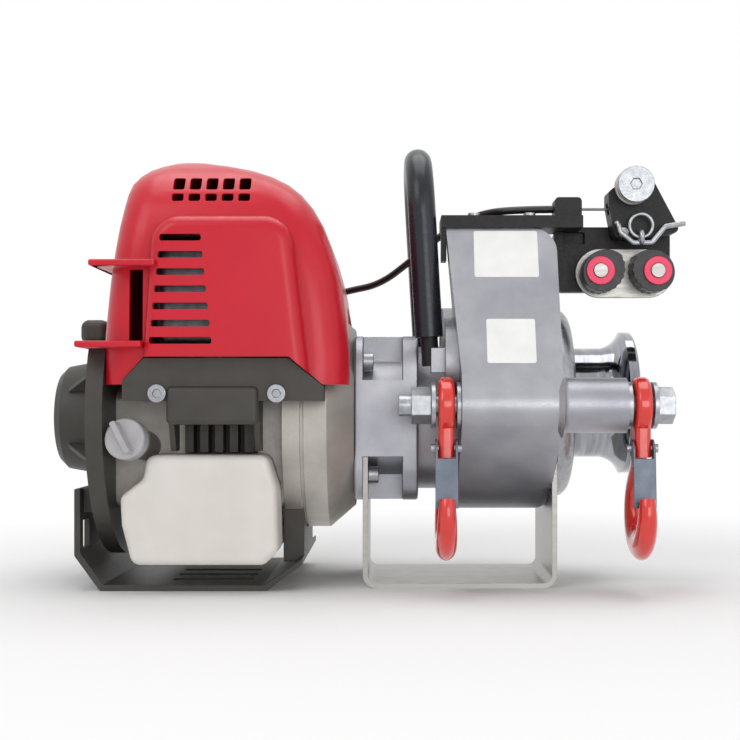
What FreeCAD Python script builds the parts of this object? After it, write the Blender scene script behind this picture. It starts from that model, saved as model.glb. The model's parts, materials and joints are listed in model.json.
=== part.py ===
import FreeCAD, Part
import Sketcher
import math
import os
import re

# Portable capstan winch. Lengths are millimetres and angles degrees.
# X runs along the crankshaft towards the drum, Y away from the hooks, Z up.
# The origin is the middle of the foot strap's underside.

Vector = FreeCAD.Vector
Rotation = FreeCAD.Rotation
Placement = FreeCAD.Placement
UP = Vector(0, 0, 1)
EAST = Vector(1, 0, 0)
NORTH = Vector(0, 1, 0)
ALONG_X = Rotation(UP, EAST)
ALONG_Y = Rotation(UP, NORTH)

# Driving sizes, one plain number each.
SIZES = {
    # main axes
    "crank_height": 98, "drum_over_crank": 9, "bolt_under_drum": 1.5, "bolt_front": 75,
    # fits and gaps
    "running_gap": 0.05, "moving_gap": 0.4, "hole_gap": 0.3, "side_gap": 1.2,
    # foot strap
    "strap_width": 90, "strap_thickness": 3, "strap_bend": 8, "strap_left_top": 11,
    "strap_right_height_over_drum": -33, "strap_screw_spread": 30, "strap_screw_height_over_drum": -47,
    "strap_screw_depth": 8,
    # screws
    "screw_radius": 3, "screw_head_radius": 5, "screw_head_height": 6, "small_screw_radius": 2,
    "small_head_radius": 3.5, "small_head_height": 4, "small_screw_length": 7,
    # clutch housing
    "clutch_flange": 5, "clutch_length": 37, "clutch_half": 48, "clutch_corner": 20, "clutch_web": 9,
    "pocket_start": 22, "clutch_core_radius": 40, "clutch_bore": 34, "clutch_end_wall": 6,
    "clutch_bolt_spread": 33, "clutch_edge": 1.5,
    # gear cover
    "collar_length": 23, "collar_radius": 43, "cover_flange": 8, "cover_flange_radius": 57.5,
    "cover_screw_circle": 53, "lobe_radius": 27, "lug_half": 8, "lug_low_over_drum": 17,
    "lug_height": 14,
    # gear housing
    "case_radius": 64, "gear_clear": 9.25, "case_right_wall": 9, "case_edge": 9, "nose_radius": 15.3,
    "arm_length_past_case": 34, "wing_slope": 22, "wing_top_over_drum": 100, "wing_thickness": 11,
    "wing_left": 8, "wing_right_past_case": -1.5, "wing_flare_low_over_drum": 17,
    "wing_flare_high_over_drum": 96, "wing_corner": 14, "arm_fillet": 3, "gear_pocket_radius": 25.6,
    "pinion_pocket_radius": 9.5,
    # rope ring
    "ring_inner": 40, "ring_outer": 57, "ring_land": 2,
    # gear train
    "module_one": 0.8, "module_two": 1, "module_three": 1.25, "pinion_teeth": 12, "gear_one_teeth": 54,
    "gear_two_teeth": 48, "gear_three_teeth": 60, "pressure_angle": 25, "backlash": 0.16,
    "stage_width": 8, "stage_step": 12, "stage_start": 1, "last_stage_width": 11.5,
    "case_end_gap": 11.5, "counter_angle": 150, "pinion_overlap": 0.5, "small_shaft_radius": 5,
    "small_bearing_radius": 8, "small_bearing_width": 5, "cover_bearing_width": 12,
    # drum and its shaft
    "drum_start_past_case": 3, "drum_barrel": 33, "drum_flare_start_past_case": 30.5,
    "drum_rim_start_past_case": 43, "drum_rim": 42.7, "drum_end_past_case": 49.2, "drum_edge": 2,
    "drum_wall": 6, "drum_recess": 4, "drum_recess_radius": 22, "drum_recess_mouth": 28,
    "drum_flare": 16, "hub_radius": 16, "hub_setback": 3, "drum_web": 6, "shaft_radius": 10,
    "shaft_bearing_radius": 18, "end_bolt_radius": 4, "end_bolt_length": 20,
    "end_bolt_head": 6.5, "end_bolt_head_height": 5.5, "end_washer_radius": 14, "end_washer": 2.5,
    # clutch
    "bell_radius": 30, "bell_wall": 2.5, "bell_length": 22, "bell_web": 3, "bell_setback": 4,
    "input_shaft_radius": 6, "input_bearing_radius": 11, "shoe_radius": 26.5, "shoe_split": 1.5,
    "shoe_length": 15, "shoe_relief": 9.5, "shoe_pin_radius": 3, "shoe_pin_side": 8, "shoe_pin_up": 18,
    "shoe_clear": 1.5,
    # engine along the crank
    "fan_length": 40, "block_length": 97, "disc_thickness": 9.5, "boss_length": 31, "fan_radius": 66,
    "fan_mouth_radius": 53, "fan_chamfer": 15, "fan_wall": 5, "fan_inner": 56, "fan_opening": 33,
    "band_groove": 1.2, "band_groove_width": 2, "band_pitch": 12, "flywheel_radius": 51,
    "flywheel_width": 12, "flywheel_boss": 25, "blade_height": 4.5, "blade_thickness": 2.5,
    "crank_radius": 7.5, "crank_web_radius": 24, "crank_web": 9, "crank_throw": 13,
    "crank_pin_radius": 7, "crank_chamber": 30, "chamber_length": 44,
    # crankcase and cylinder
    "block_front": 45, "block_back": 50, "block_low_over_crank": -52, "block_high_over_crank": 18,
    "block_edge": 9, "barrel_radius": 26, "fin_radius": 40, "fin_thickness": 2.5, "fin_pitch": 8,
    "cover_headroom": 42, "cylinder_bore": 19.5, "rib_thickness": 4.7, "rib_pitch": 8.4,
    "rib_low_over_crank": -19, "rib_depth": 14, "rib_start": 6,
    # starter
    "disc_radius": 82, "disc_cut_height_over_crank": 39, "boss_radius": 36, "boss_end_radius": 31,
    "boss_wall": 3, "boss_edge": 4, "gusset_thickness": 3, "gusset_length": 22, "reel_radius": 22,
    "reel_flange": 27, "reel_width": 14, "reel_groove": 8, "post_radius": 6, "rope_radius": 1.75,
    "reel_setback": 8, "grip_low_over_crank": 33, "grip_neck_radius": 6, "grip_neck": 12,
    "grip_bar": 34, "grip_height": 15, "grip_depth": 17, "grip_edge": 5,
    # red cover
    "cover_front": 83, "cover_back": 54, "cover_bottom_over_crank": 19, "cover_height": 131,
    "cover_left_over": 5, "cover_right_back": 1.6, "cover_wall": 3, "cover_corner": 19,
    "louvre_height": 3.7, "louvre_pitch": 9.3, "louvre_top_share": 0.593, "louvre_length": 22.5,
    "louvre_left_from_disc": 42.5, "vent_width": 6.5, "vent_pitch": 9.2, "vent_left_from_disc": 46.5,
    "vent_reach": 40, "vent_upper_share": 0.828, "vent_lower_share": 0.775, "vent_tall": 7.5,
    "vent_short": 4.5, "louvre_grow": 0.95, "shelf_thickness": 3.5, "shelf_upper_share": 0.4885,
    "shelf_lower_share": 0.1527, "shelf_front": 94, "shelf_depth": 72,
    "shelf_upper_left_from_disc": 4.5, "shelf_lower_left_from_disc": -3, "shelf_length": 36,
    "slot_low_share": 0.183, "slot_high_share": 0.481, "slot_left_from_disc": 24.5, "slot_width": 7.5,
    "panel_front": 91, "panel_high_share": 0.702, "panel_left_from_disc": 31.5,
    "panel_left_top_from_disc": 38, "panel_right_from_face": 22.4, "panel_right_top_from_face": 33.8,
    "panel_corner": 16, "panel_edge": 7, "louvre_round": 1.2,
    # under cover
    "under_front": 85, "under_depth": 26, "under_low_over_crank": 10, "under_lip_low_over_crank": -3,
    "under_lip_left_from_disc": 45.5, "under_lip_right_from_face": 51, "under_lip_out": 3,
    "flange_low_over_crank": -18, "flange_thickness": 3, "flange_taper": 14, "cover_gap": 0.6,
    "arch_low_over_crank": 18, "arch_high_over_crank": 34, "arch_left_from_disc": 20.5,
    "arch_right_from_face": 15, "arch_left_top_from_disc": 32.5, "arch_right_top_from_face": 34,
    "under_screw_height_over_crank": 14, "under_screw_left_from_disc": 40.5,
    "under_screw_right_from_face": 41, "under_screw_depth": 18,
    # muffler, plug, air side
    "muffler_left_from_disc": 35.5, "muffler_width": 58, "muffler_front": 76, "muffler_depth": 30,
    "muffler_low_over_crank": 40, "muffler_height": 58, "muffler_edge": 8, "fin_clear": 1,
    "plug_radius": 8, "plug_length": 24, "plug_nut": 10, "plug_nut_height": 6, "carb_width": 32,
    "carb_depth": 28, "carb_low_over_crank": 34, "carb_height": 36, "carb_edge": 4, "stub_radius": 12,
    "air_depth": 34, "air_width": 74, "air_low_over_crank": 14, "air_height": 86, "air_edge": 12,
    "arm_hub": 7, "arm_thickness": 3, "arm_reach": 12, "arm_width": 7, "spindle_radius": 3,
    "spindle_height": 7,
    # tank and guard
    "tank_left_from_disc": 17.7, "tank_right_from_face": 41, "tank_low_over_crank": -81,
    "tank_high_over_crank": -20, "tank_front": 76, "tank_depth": 30, "tank_back": 88,
    "tank_floor_high_over_crank": -52, "tank_inset": 4, "tank_corner": 6, "tank_edge": 4, "tank_round": 6,
    "fuel_neck_x_from_disc": 47.5, "fuel_neck_y": 68, "fuel_neck_radius": 14, "fuel_neck": 13,
    "fuel_cap_radius": 18, "fuel_cap_height": 15, "cap_wall": 3, "guard_front": 56, "guard_back": 76,
    "guard_wall": 3.6, "guard_left_from_disc": -12.1, "guard_leg_top_over_crank": -40,
    "guard_leg_low_over_crank": -78, "guard_low_over_crank": -98, "guard_floor_left_from_disc": 2.5,
    "guard_floor_right_from_face": 49,
    "guard_end_from_face": 29, "guard_end_low_over_crank": -83, "guard_block_left_from_face": 41,
    "guard_block_half": 40, "guard_lug_low_over_crank": -54, "guard_lug_near": 33,
    "guard_lug_width": 15, "guard_slot": 8, "guard_slot_pitch": 22, "guard_slot_left_from_disc": 40.5,
    "guard_slot_length": 47, "guard_slot_start": 36, "guard_window": 16,
    # oil cap
    "oil_x_from_disc": 27, "oil_front": 44, "oil_height_over_crank": -16, "oil_neck_radius": 8.5,
    "oil_neck": 15, "oil_cap_radius": 11.5, "oil_cap": 9, "oil_wing": 13, "oil_wing_thickness": 3.5,
    "oil_turn": 8, "oil_wing_turn": 112,
    # hooks
    "bolt_radius": 6, "bolt_tip": 7, "nut_flats": 18, "nut_height": 10.8, "head_height": 9.5,
    "washer_radius": 13, "washer_thickness": 2.6, "eye_radius": 15.7, "eye_width": 9, "eye_edge": 3,
    "hook_drop": 56, "hook_line": 21, "hook_width": 12, "hook_depth": 17, "latch_pin_front": 5,
    "latch_pin_drop": 23.5, "latch_pin_radius": 2.4, "latch_pin_length": 17, "latch_length": 33,
    "latch_thickness": 1.5, "latch_lean": 5, "cheek_radius": 5, "cheek_thickness": 1.3,
    "latch_lift": 5.2, "tongue_start": 6,
    # handle
    "handle_x": 17, "handle_lean": 7, "handle_front": 50, "handle_back": 45, "handle_low_over_drum": 21,
    "handle_top_over_drum": 142, "handle_bend": 30, "bar_radius": 5, "sleeve_radius": 8,
    "sleeve_low_over_drum": 37.5,
    # rope bracket
    "saddle_height": 7, "saddle_front": 52, "saddle_back": 20, "saddle_left": 11,
    "saddle_right_past_case": 14, "saddle_leg_low_over_drum": 81, "plate_left_past_case": 0,
    "plate_right_past_case": 68, "plate_low_over_drum": 65, "plate_high_over_drum": 103,
    "plate_front": 30, "plate_edge": 6, "tab_left_past_case": -2, "tab_right_past_case": 13.5,
    "tab_top_over_drum": 117.6, "tab_front": 50, "tab_back": 36, "bracket_screw_left_past_case": -48,
    "bracket_screw_right_past_case": -16, "bracket_rib": 45, "pocket_left_past_case": 5,
    "pocket_length": 13, "pocket_low_over_drum": 93, "pocket_height": 7, "pocket_depth": 4,
    # rope lock
    "lock_x_past_case": 40.6, "lock_height_over_drum": 75.6, "cam_spacing": 32.8,
    "cam_plate_length": 57, "cam_plate_height": 28.6, "cam_plate_thickness": 3, "cam_depth": 16,
    "cam_radius": 11.6, "cam_reach": 15.4, "cam_teeth": 9, "cam_tooth": 0.7, "cam_hollow": 3.5,
    "cam_arc": 150, "cam_pin_radius": 4.15, "cam_pin_over": 2.6, "cam_ring_radius": 8.1,
    "cam_ring_height": 1.4,
    # throttle lever and roller
    "lever_front": 46.5, "pivot_x_past_case": 38, "pivot_height_over_drum": 98, "pivot_radius": 3,
    "lever_left_past_case": 29.3, "lever_edge": 2.5, "lever_foot": 3, "lever_waist": 16, "lever_toe": 5,
    "lever_heel": 17.5, "lever_tail": 28, "lever_tip": 29, "lever_shoulder": 13, "lever_crown": 8.5,
    "roller_x_past_case": 43, "roller_height_over_drum": 123.7, "roller_radius": 10.5,
    "roller_width": 10, "roller_waist": 7.5, "roller_bolt_radius": 4, "roller_head_radius": 10.3,
    "roller_head_height": 2.4, "wire_radius": 0.8, "wire_height_over_drum": 112, "wire_depth": 40,
    "nipple_radius": 2, "nipple_length": 3, "wire_end_past_case": 35, "wire_slot": 3.4,
    "wire_slot_end_past_case": 42, "wire_bore": 1.4, "wire_clear": 1.5,
    # keeper wire and pull ring
    "keeper_radius": 1.5, "keeper_front": 52, "eye_mean": 3.2, "eye_x_past_case": 47,
    "eye_height_over_drum": 94.5, "pull_ring_mean": 6.6, "pull_ring_wire": 0.95,
    # throttle cable
    "cable_radius": 2.2,
}

# Sizes that follow from the driving ones, written as sheet formulas.
DERIVED = {
    "drum_height": "crank_height + drum_over_crank",
    "bolt_height": "drum_height - bolt_under_drum",
    "strap_left_height": "crank_height - clutch_bolt_spread + strap_left_top",
    "case_length": "stage_start + 2 * stage_step + last_stage_width + case_end_gap + case_right_wall",
    "strap_length": "clutch_length + collar_length + case_length - clutch_flange",
    "engine_face": "-strap_length / 2 - clutch_flange",
    "clutch_end": "engine_face + clutch_length",
    "case_left": "clutch_end + collar_length",
    "case_right": "strap_length / 2",
    "leg_face": "case_right - strap_thickness",
    "cavity_right": "case_right - case_right_wall",
    "cavity_radius": "module_three * (gear_three_teeth + 2) / 2 + gear_clear",
    "fan_left": "engine_face - fan_length",
    "block_left": "fan_left - block_length",
    "disc_left": "block_left - disc_thickness",
    "boss_left": "disc_left - boss_length",
    "centre_one": "module_one * (pinion_teeth + gear_one_teeth) / 2",
    "centre_two": "module_two * (pinion_teeth + gear_two_teeth) / 2",
    "centre_three": "module_three * (pinion_teeth + gear_three_teeth) / 2",
    "second_y": "centre_three * cos(counter_angle)",
    "second_z": "drum_height + centre_three * sin(counter_angle)",
    "rise": "second_z - crank_height",
    "span": "sqrt(second_y ^ 2 + rise ^ 2)",
    "along_span": "(centre_one ^ 2 - centre_two ^ 2 + span ^ 2) / (2 * span)",
    "off_span": "sqrt(centre_one ^ 2 - along_span ^ 2)",
    "first_y": "(second_y * along_span + rise * off_span) / span",
    "first_z": "crank_height + (rise * along_span - second_y * off_span) / span",
    "stage_one": "case_left + stage_start",
    "stage_two": "stage_one + stage_step",
    "stage_three": "stage_two + stage_step",
    "nose_reach": "sqrt(bolt_front ^ 2 + (drum_height - bolt_height) ^ 2)",
    "nose_gap_angle": "asin((case_radius - nose_radius) / nose_reach)",
    "chin_angle": "nose_gap_angle - atan((drum_height - bolt_height) / bolt_front)",
    "wing_front": "-bolt_front - nose_radius * cos(wing_slope)",
    "wing_foot": "bolt_height + nose_radius * sin(wing_slope)",
    "wing_crest": "wing_front + (wing_top - wing_foot) * tan(wing_slope)",
    "bell_left": "engine_face + bell_setback",
    "bell_right": "bell_left + bell_length",
    "left_washer": "case_left - washer_thickness",
    "left_hook": "left_washer - side_gap - eye_width / 2",
    "left_outer_washer": "left_hook - eye_width / 2 - side_gap - washer_thickness",
    "right_hook": "arm_length + washer_thickness + side_gap + eye_width / 2",
    "right_outer_washer": "right_hook + eye_width / 2 + side_gap",
    "reel_right": "disc_left - reel_setback",
    "reel_middle": "reel_right - reel_width / 2",
    "roller_back": "-lever_front - moving_gap",
    "cam_back": "-plate_front - cam_plate_thickness - moving_gap",
    "cam_front": "cam_back - cam_depth",
    "air_front": "cover_back + carb_depth",
    "cylinder_x": "fan_length + fin_radius + fin_clear - engine_face",
    "barrel_top": "cover_bottom + cover_height - cover_headroom",
}

# Places given over the crank or drum axis, as a share of the cover's height, left of the engine's face,
# right of the starter disc, or right of the gear case.
OVER_CRANK = (
    "block_low", "block_high", "rib_low", "disc_cut_height", "grip_low", "cover_bottom", "flange_low",
    "under_low", "under_lip_low", "arch_low", "arch_high", "under_screw_height", "muffler_low",
    "carb_low", "air_low", "tank_low", "tank_high", "tank_floor_high", "oil_height", "guard_low",
    "guard_leg_top", "guard_leg_low", "guard_end_low", "guard_lug_low",
)
OVER_DRUM = (
    "handle_low", "handle_top", "sleeve_low", "lug_low", "wing_top", "wing_flare_low",
    "wing_flare_high", "saddle_leg_low", "plate_low", "plate_high", "tab_top", "lock_height",
    "pivot_height", "roller_height", "wire_height", "eye_height", "pocket_low", "strap_right_height",
    "strap_screw_height",
)
UP_COVER = (
    "louvre_top", "vent_upper", "vent_lower", "shelf_upper", "shelf_lower", "slot_low", "slot_high",
    "panel_high",
)
FROM_FACE = (
    "under_lip_right", "arch_right", "arch_right_top", "under_screw_right", "tank_right",
    "guard_floor_right", "guard_end", "guard_block_left", "panel_right", "panel_right_top",
)
FROM_DISC = (
    "muffler_left", "louvre_left", "vent_left", "slot_left", "under_lip_left", "arch_left",
    "arch_left_top", "under_screw_left", "tank_left", "fuel_neck_x", "oil_x", "guard_left",
    "guard_floor_left", "guard_slot_left", "shelf_upper_left", "shelf_lower_left", "panel_left",
    "panel_left_top",
)
PAST_CASE = (
    "drum_start", "drum_flare_start", "drum_rim_start", "drum_end", "wing_right", "arm_length",
    "saddle_right", "plate_left", "plate_right", "tab_left", "tab_right", "lock_x", "pivot_x",
    "lever_left", "roller_x", "wire_end", "wire_slot_end", "eye_x", "pocket_left", "bracket_screw_left",
    "bracket_screw_right",
)
DERIVED.update({name: f"crank_height + {name}_over_crank" for name in OVER_CRANK})
DERIVED.update({name: f"drum_height + {name}_over_drum" for name in OVER_DRUM})
DERIVED.update({name: f"cover_bottom + cover_height * {name}_share" for name in UP_COVER})
DERIVED.update({name: f"{name}_from_face - engine_face" for name in FROM_FACE})
DERIVED.update({name: f"-disc_left - {name}_from_disc" for name in FROM_DISC})
DERIVED.update({name: f"case_right + {name}_past_case" for name in PAST_CASE})

# Red cover sections from bottom to top: height, left, right, front, back as shares of the cover's own spans.
COVER_SHARES = (
    (0.00, 0.014, 1.00, 0.00, 1.00), (0.14, 0.021, 0.998, 0.002, 0.997),
    (0.29, 0.032, 0.985, 0.005, 0.99),
    (0.44, 0.045, 0.964, 0.01, 0.983), (0.58, 0.063, 0.928, 0.018, 0.97),
    (0.68, 0.078, 0.893, 0.03, 0.955),
    (0.76, 0.092, 0.85, 0.05, 0.935), (0.82, 0.101, 0.805, 0.08, 0.91), (0.87, 0.112, 0.752, 0.12, 0.88),
    (0.91, 0.132, 0.69, 0.17, 0.845), (0.945, 0.157, 0.615, 0.23, 0.80),
    (0.975, 0.184, 0.53, 0.31, 0.745),
    (1.00, 0.23, 0.43, 0.40, 0.68),
)

# Hook sections inside the shank: turn, depth and width as below, then how far back and down as shares.
NECK_SHARES = ((-0.25, 0.80, 0.70, 0.00, 0.31), (-0.21, 0.82, 0.72, 0.16, 0.51))

# Hook sections along the bowl: turn from straight up, depth and width as shares of the largest section.
HOOK_SHARES = (
    (-0.17, 0.84, 0.78), (-0.24, 0.90, 0.86), (-0.32, 0.96, 0.93), (-0.42, 1.00, 1.00),
    (-0.54, 1.00, 1.00),
    (-0.64, 0.85, 0.94), (-0.72, 0.66, 0.84), (-0.79, 0.46, 0.70),
)

# Corners of the tank's front, as shares of its width and height.
TANK_SHARES = (
    (0.00, 0.62), (0.145, 0.78), (0.17, 1.00), (0.928, 1.00), (0.99, 0.70), (1.00, 0.13), (0.91, 0.00),
    (0.075, 0.00), (0.01, 0.36),
)

# Corners of the cable's route, as shares of the way from the carburettor to the tab, and its bends.
CABLE_SHARES = (
    (0.14, 0.00, 0.00), (0.30, 0.06, 0.18), (0.42, 0.16, 0.25), (0.53, 0.32, 0.55), (0.63, 0.55, 0.84),
    (0.73, 0.80, 1.00), (0.84, 1.00, 1.00),
)
BEND_SHARE = 0.45

# Corners of the keeper wire right of and above its eye, as shares of the wire's radius.
KEEPER_SHARES = ((-8.0, 2.0), (-3.0, -2.1), (4.0, -2.1), (9.0, 4.0))
KEEPER_END_SHARES = (17.0, 5.5)

# Gear tooth heights as shares of the module, and the flank's corners between base and tip.
ADDENDUM_SHARE = 0.8
DEDENDUM_SHARE = 1.05
FLANK_SHARES = (0.0, 0.3, 0.65, 1.0)

# Screw sockets, oil cap wing, hood corners and hook shank as shares of the width they belong to.
SOCKET_SHARE = 0.5
WIDE_SOCKET_SHARE = 0.33
WING_SHARE = 0.85
CORNER_SHARE = 0.46
SHANK_SHARE = 0.6

# Counts and turns in degrees.
SIDES = (-1, 1)
BLADES = 10
RIBS = 5
LOUVRES = 7
VENTS = 5
GUARD_SLOTS = 3
CAM_BACK_STEPS = 30
CAM_TILT = 40
COVER_SCREW_TURNS = (-140, -40, 10, 60)
GUSSET_TURNS = (30, 150, 210, 330)

# Places that several pieces share.
OIL_PLACE = ("-oil_x", "-oil_front", "oil_height")
CABLE_START = ("-cylinder_x + carb_width / 2", "cover_back + carb_depth / 2",
    "carb_low + carb_height + arm_width / 2")
KEEPER_HEIGHT = "pivot_height + 2 * lever_edge"

document = FreeCAD.newDocument("CapstanWinch")
sheet = document.addObject("Spreadsheet::Sheet", "Sizes")
CELLS = {**SIZES, **{name: "=" + text for name, text in DERIVED.items()}}
for row, (alias, entry) in enumerate(CELLS.items(), 1):
    sheet.set(f"A{row}", alias)
    sheet.setAlias(f"B{row}", alias)
for row, (alias, entry) in enumerate(CELLS.items(), 1):
    sheet.set(f"B{row}", str(entry))
document.recompute()

NODES = []
LARGE_SCREWS = []
SMALL_SCREWS = []
PIVOT_PINS = []


def formula(text):
    """Point each size name in a formula at the sheet."""
    return re.sub(r"[a-z_]+", lambda word: f"Sizes.{word[0]}" if word[0] in CELLS else word[0], str(text))


def number(text):
    """The value a formula has now."""
    return float(sheet.evalExpression(formula(text)))


def bind(thing, field, text):
    """Drive one field of an object from the sheet."""
    thing.setExpression(field, formula(text))


def seat(thing, at, turn=None):
    """Turn an object and bind its position."""
    if turn is not None:
        thing.Placement = Placement(Vector(), turn)
    for field, text in zip("xyz", at):
        bind(thing, f"Placement.Base.{field}", text)
    return thing


def node(thing, label):
    """Mark a finished object as one sub-part."""
    thing.Label = label
    NODES.append(thing)
    return thing


def cylinder(radius, length, at, turn=None):
    """A round bar, along Z unless turned."""
    bar = document.addObject("Part::Cylinder", "bar")
    bind(bar, "Radius", radius)
    bind(bar, "Height", length)
    return seat(bar, at, turn)


def box(lengths, at, turn=None):
    """A block from its low corner."""
    block = document.addObject("Part::Box", "block")
    for field, text in zip(("Length", "Width", "Height"), lengths):
        bind(block, field, text)
    return seat(block, at, turn)


def torus(mean, wire, at, turn=None):
    """A ring of round wire, its axis along Z unless turned."""
    ring = document.addObject("Part::Torus", "ring")
    bind(ring, "Radius1", mean)
    bind(ring, "Radius2", wire)
    return seat(ring, at, turn)


def hexagon(flats, length, at, turn):
    """A six-sided bar, given across its flats."""
    bar = document.addObject("Part::Prism", "hexagon")
    bar.Polygon = 6
    bind(bar, "Circumradius", f"({flats}) / sqrt(3)")
    bind(bar, "Height", length)
    return seat(bar, at, turn)


def join(*parts):
    """One solid from several."""
    union = document.addObject("Part::MultiFuse", "union")
    union.Shapes = list(parts)
    union.Refine = True
    return union


def cut(base, *tools):
    """Take tools out of a base."""
    difference = document.addObject("Part::Cut", "difference")
    difference.Base = base
    difference.Tool = tools[0] if len(tools) == 1 else join(*tools)
    difference.Refine = True
    return difference


def gather(*parts):
    """Separate solids kept side by side."""
    group = document.addObject("Part::Compound", "group")
    group.Links = list(parts)
    return group


def common(first, second):
    """What two solids share."""
    shared = document.addObject("Part::Common", "shared")
    shared.Base = first
    shared.Tool = second
    return shared


def rounded(base, radius, pick):
    """Round the edges that pick chooses."""
    document.recompute()
    fillet = document.addObject("Part::Fillet", "rounding")
    fillet.Base = base
    size = number(radius)
    chosen = [index for index, edge in enumerate(base.Shape.Edges, 1) if pick(edge)]
    fillet.Edges = [(index, size, size) for index in chosen]
    return fillet


def runs_along(direction):
    """Pick straight edges that run one way."""
    def pick(edge):
        if not isinstance(edge.Curve, Part.Line):
            return False
        return abs(edge.Curve.Direction.dot(direction)) > math.cos(math.radians(1))
    return pick


def all_edges(edge):
    """Pick every edge."""
    return True


def arc_centre(start, end, radius, turn):
    """Centre of an arc between two points; turn is 1 anticlockwise, -1 clockwise."""
    middle = (start + end) / 2
    chord = end - start
    offset = math.sqrt(max(radius ** 2 - (chord.Length / 2) ** 2, 0))
    side = Vector(-chord.y, chord.x, 0).normalize()
    return middle + side * offset * turn


def outline(body, plane, points):
    """Closed sketch through points; a point with a radius and a turn ends an arc."""
    sketch = body.newObject("Sketcher::SketchObject", "outline")
    role = {"XZ": "XZ_Plane", "YZ": "YZ_Plane", "XY": "XY_Plane"}[plane]
    sketch.AttachmentSupport = [(next(item for item in body.Origin.OriginFeatures if item.Role == role),
        "")]
    sketch.MapMode = "FlatFace"
    places = [Vector(number(point[0]), number(point[1]), 0) for point in points]
    starts = []
    ends = []
    radii = []
    for index, point in enumerate(points):
        start, end = places[index - 1], places[index]
        starts.append(1)
        ends.append(2)
        if len(point) == 2:
            sketch.addGeometry(Part.LineSegment(start, end), False)
            continue
        radius = number(point[2])
        centre = arc_centre(start, end, radius, point[3])
        first, last = (start, end) if point[3] > 0 else (end, start)
        angles = [math.atan2(spot.y - centre.y, spot.x - centre.x) for spot in (first, last)]
        sketch.addGeometry(Part.ArcOfCircle(Part.Circle(centre, UP, radius), *angles), False)
        radii.append((index, point[2], radius))
        if point[3] < 0:
            starts[index], ends[index] = 2, 1
    count = len(points)
    for index in range(count):
        after = (index + 1) % count
        sketch.addConstraint(Sketcher.Constraint("Coincident", index, ends[index], after, starts[after]))
    for index, point in enumerate(points):
        for kind, text, value in zip(("DistanceX", "DistanceY"), point, places[index]):
            spot = sketch.addConstraint(Sketcher.Constraint(kind, -1, 1, index, ends[index], value))
            bind(sketch, f"Constraints[{spot}]", text)
    for index, text, radius in radii:
        spot = sketch.addConstraint(Sketcher.Constraint("Radius", index, radius))
        bind(sketch, f"Constraints[{spot}]", text)
    return sketch


def turned(profile, at, turn=None):
    """A body turned about its own X axis from points along and out."""
    body = document.addObject("PartDesign::Body", "turned")
    sketch = outline(body, "XZ", profile)
    revolution = body.newObject("PartDesign::Revolution", "revolution")
    revolution.Profile = sketch
    revolution.ReferenceAxis = (sketch, ["H_Axis"])
    sketch.Visibility = False
    return seat(body, at, turn)


def prism(points, depth, plane, at):
    """A body padded from a sketch; the pad runs to +X from YZ and to -Y from XZ."""
    body = document.addObject("PartDesign::Body", "prism")
    sketch = outline(body, plane, points)
    pad = body.newObject("PartDesign::Pad", "pad")
    pad.Profile = sketch
    bind(pad, "Length", depth)
    sketch.Visibility = False
    return seat(body, at)


def solid(shape):
    """An object whose shape is worked out here from sheet values."""
    thing = document.addObject("Part::Feature", "formed")
    thing.Shape = shape
    return thing


def bent_route(points, bends):
    """Straight runs joined by tangent arcs through corner points."""
    edges = []
    start = points[0]
    for corner, after, bend in zip(points[1:-1], points[2:], bends):
        into = (corner - start).normalize()
        away = (after - corner).normalize()
        half = into.getAngle(away) / 2
        reach = bend * math.tan(half)
        first = corner - into * reach
        last = corner + away * reach
        middle = corner + (away - into).normalize() * (bend / math.cos(half) - bend)
        edges.append(Part.LineSegment(start, first).toShape())
        edges.append(Part.Arc(first, middle, last).toShape())
        start = last
    edges.append(Part.LineSegment(start, points[-1]).toShape())
    return Part.Wire(edges)


def rod(route, radius):
    """Round stock swept along a route."""
    first = route.Edges[0]
    tangent = first.tangentAt(first.FirstParameter)
    circle = Part.Circle(first.valueAt(first.FirstParameter), tangent, radius)
    return route.makePipeShell([Part.Wire(circle.toShape())], True, True)


def screw_shape(radius, length, head_radius, head_height, place, direction, socket_share=SOCKET_SHARE):
    """Cap screw with a hexagon socket: the head stands along direction from place, the shank goes behind."""
    shank = Part.makeCylinder(radius, length, place - direction * length, direction)
    head = Part.makeCylinder(head_radius, head_height, place, direction)
    turn = Rotation(UP, direction)
    reach = head_radius * socket_share
    corners = []
    for step in range(7):
        angle = math.radians(60 * step)
        corners.append(place + direction * head_height / 2 + turn.multVec(
            Vector(reach * math.cos(angle), reach * math.sin(angle), 0)))
    socket = Part.Face(Part.makePolygon(corners)).extrude(direction * head_height)
    return shank.fuse(head).removeSplitter().cut(socket)


def spot(x, y, z):
    """A point from three formulas."""
    return Vector(number(x), number(y), number(z))


def gear_shape(teeth, module, width):
    """Spur gear with a tooth on +Y, its axis along X; flanks are straight steps along the involute."""
    pitch = teeth * module / 2
    pressure = math.radians(number("pressure_angle"))
    base = pitch * math.cos(pressure)
    tip = pitch + ADDENDUM_SHARE * module
    root = pitch - DEDENDUM_SHARE * module
    thick = math.pi * module / 2 - number("backlash") / 2
    half = thick / (2 * pitch) + math.tan(pressure) - pressure
    low = max(base, root)
    flank = []
    for share in FLANK_SHARES:
        radius = low + (tip - low) * share
        opening = math.acos(min(base / radius, 1))
        flank.append((radius, half - (math.tan(opening) - opening)))
    if root < base:
        flank.insert(0, (root, flank[0][1]))
    corners = []
    for tooth in range(teeth):
        middle = 2 * math.pi * tooth / teeth
        side = [(radius, middle - angle) for radius, angle in flank]
        side += [(radius, middle + angle) for radius, angle in reversed(flank)]
        corners += [Vector(0, radius * math.cos(angle), radius * math.sin(angle)) for radius,
            angle in side]
    corners.append(corners[0])
    return Part.Face(Part.makePolygon(corners)).extrude(EAST * width)


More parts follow.
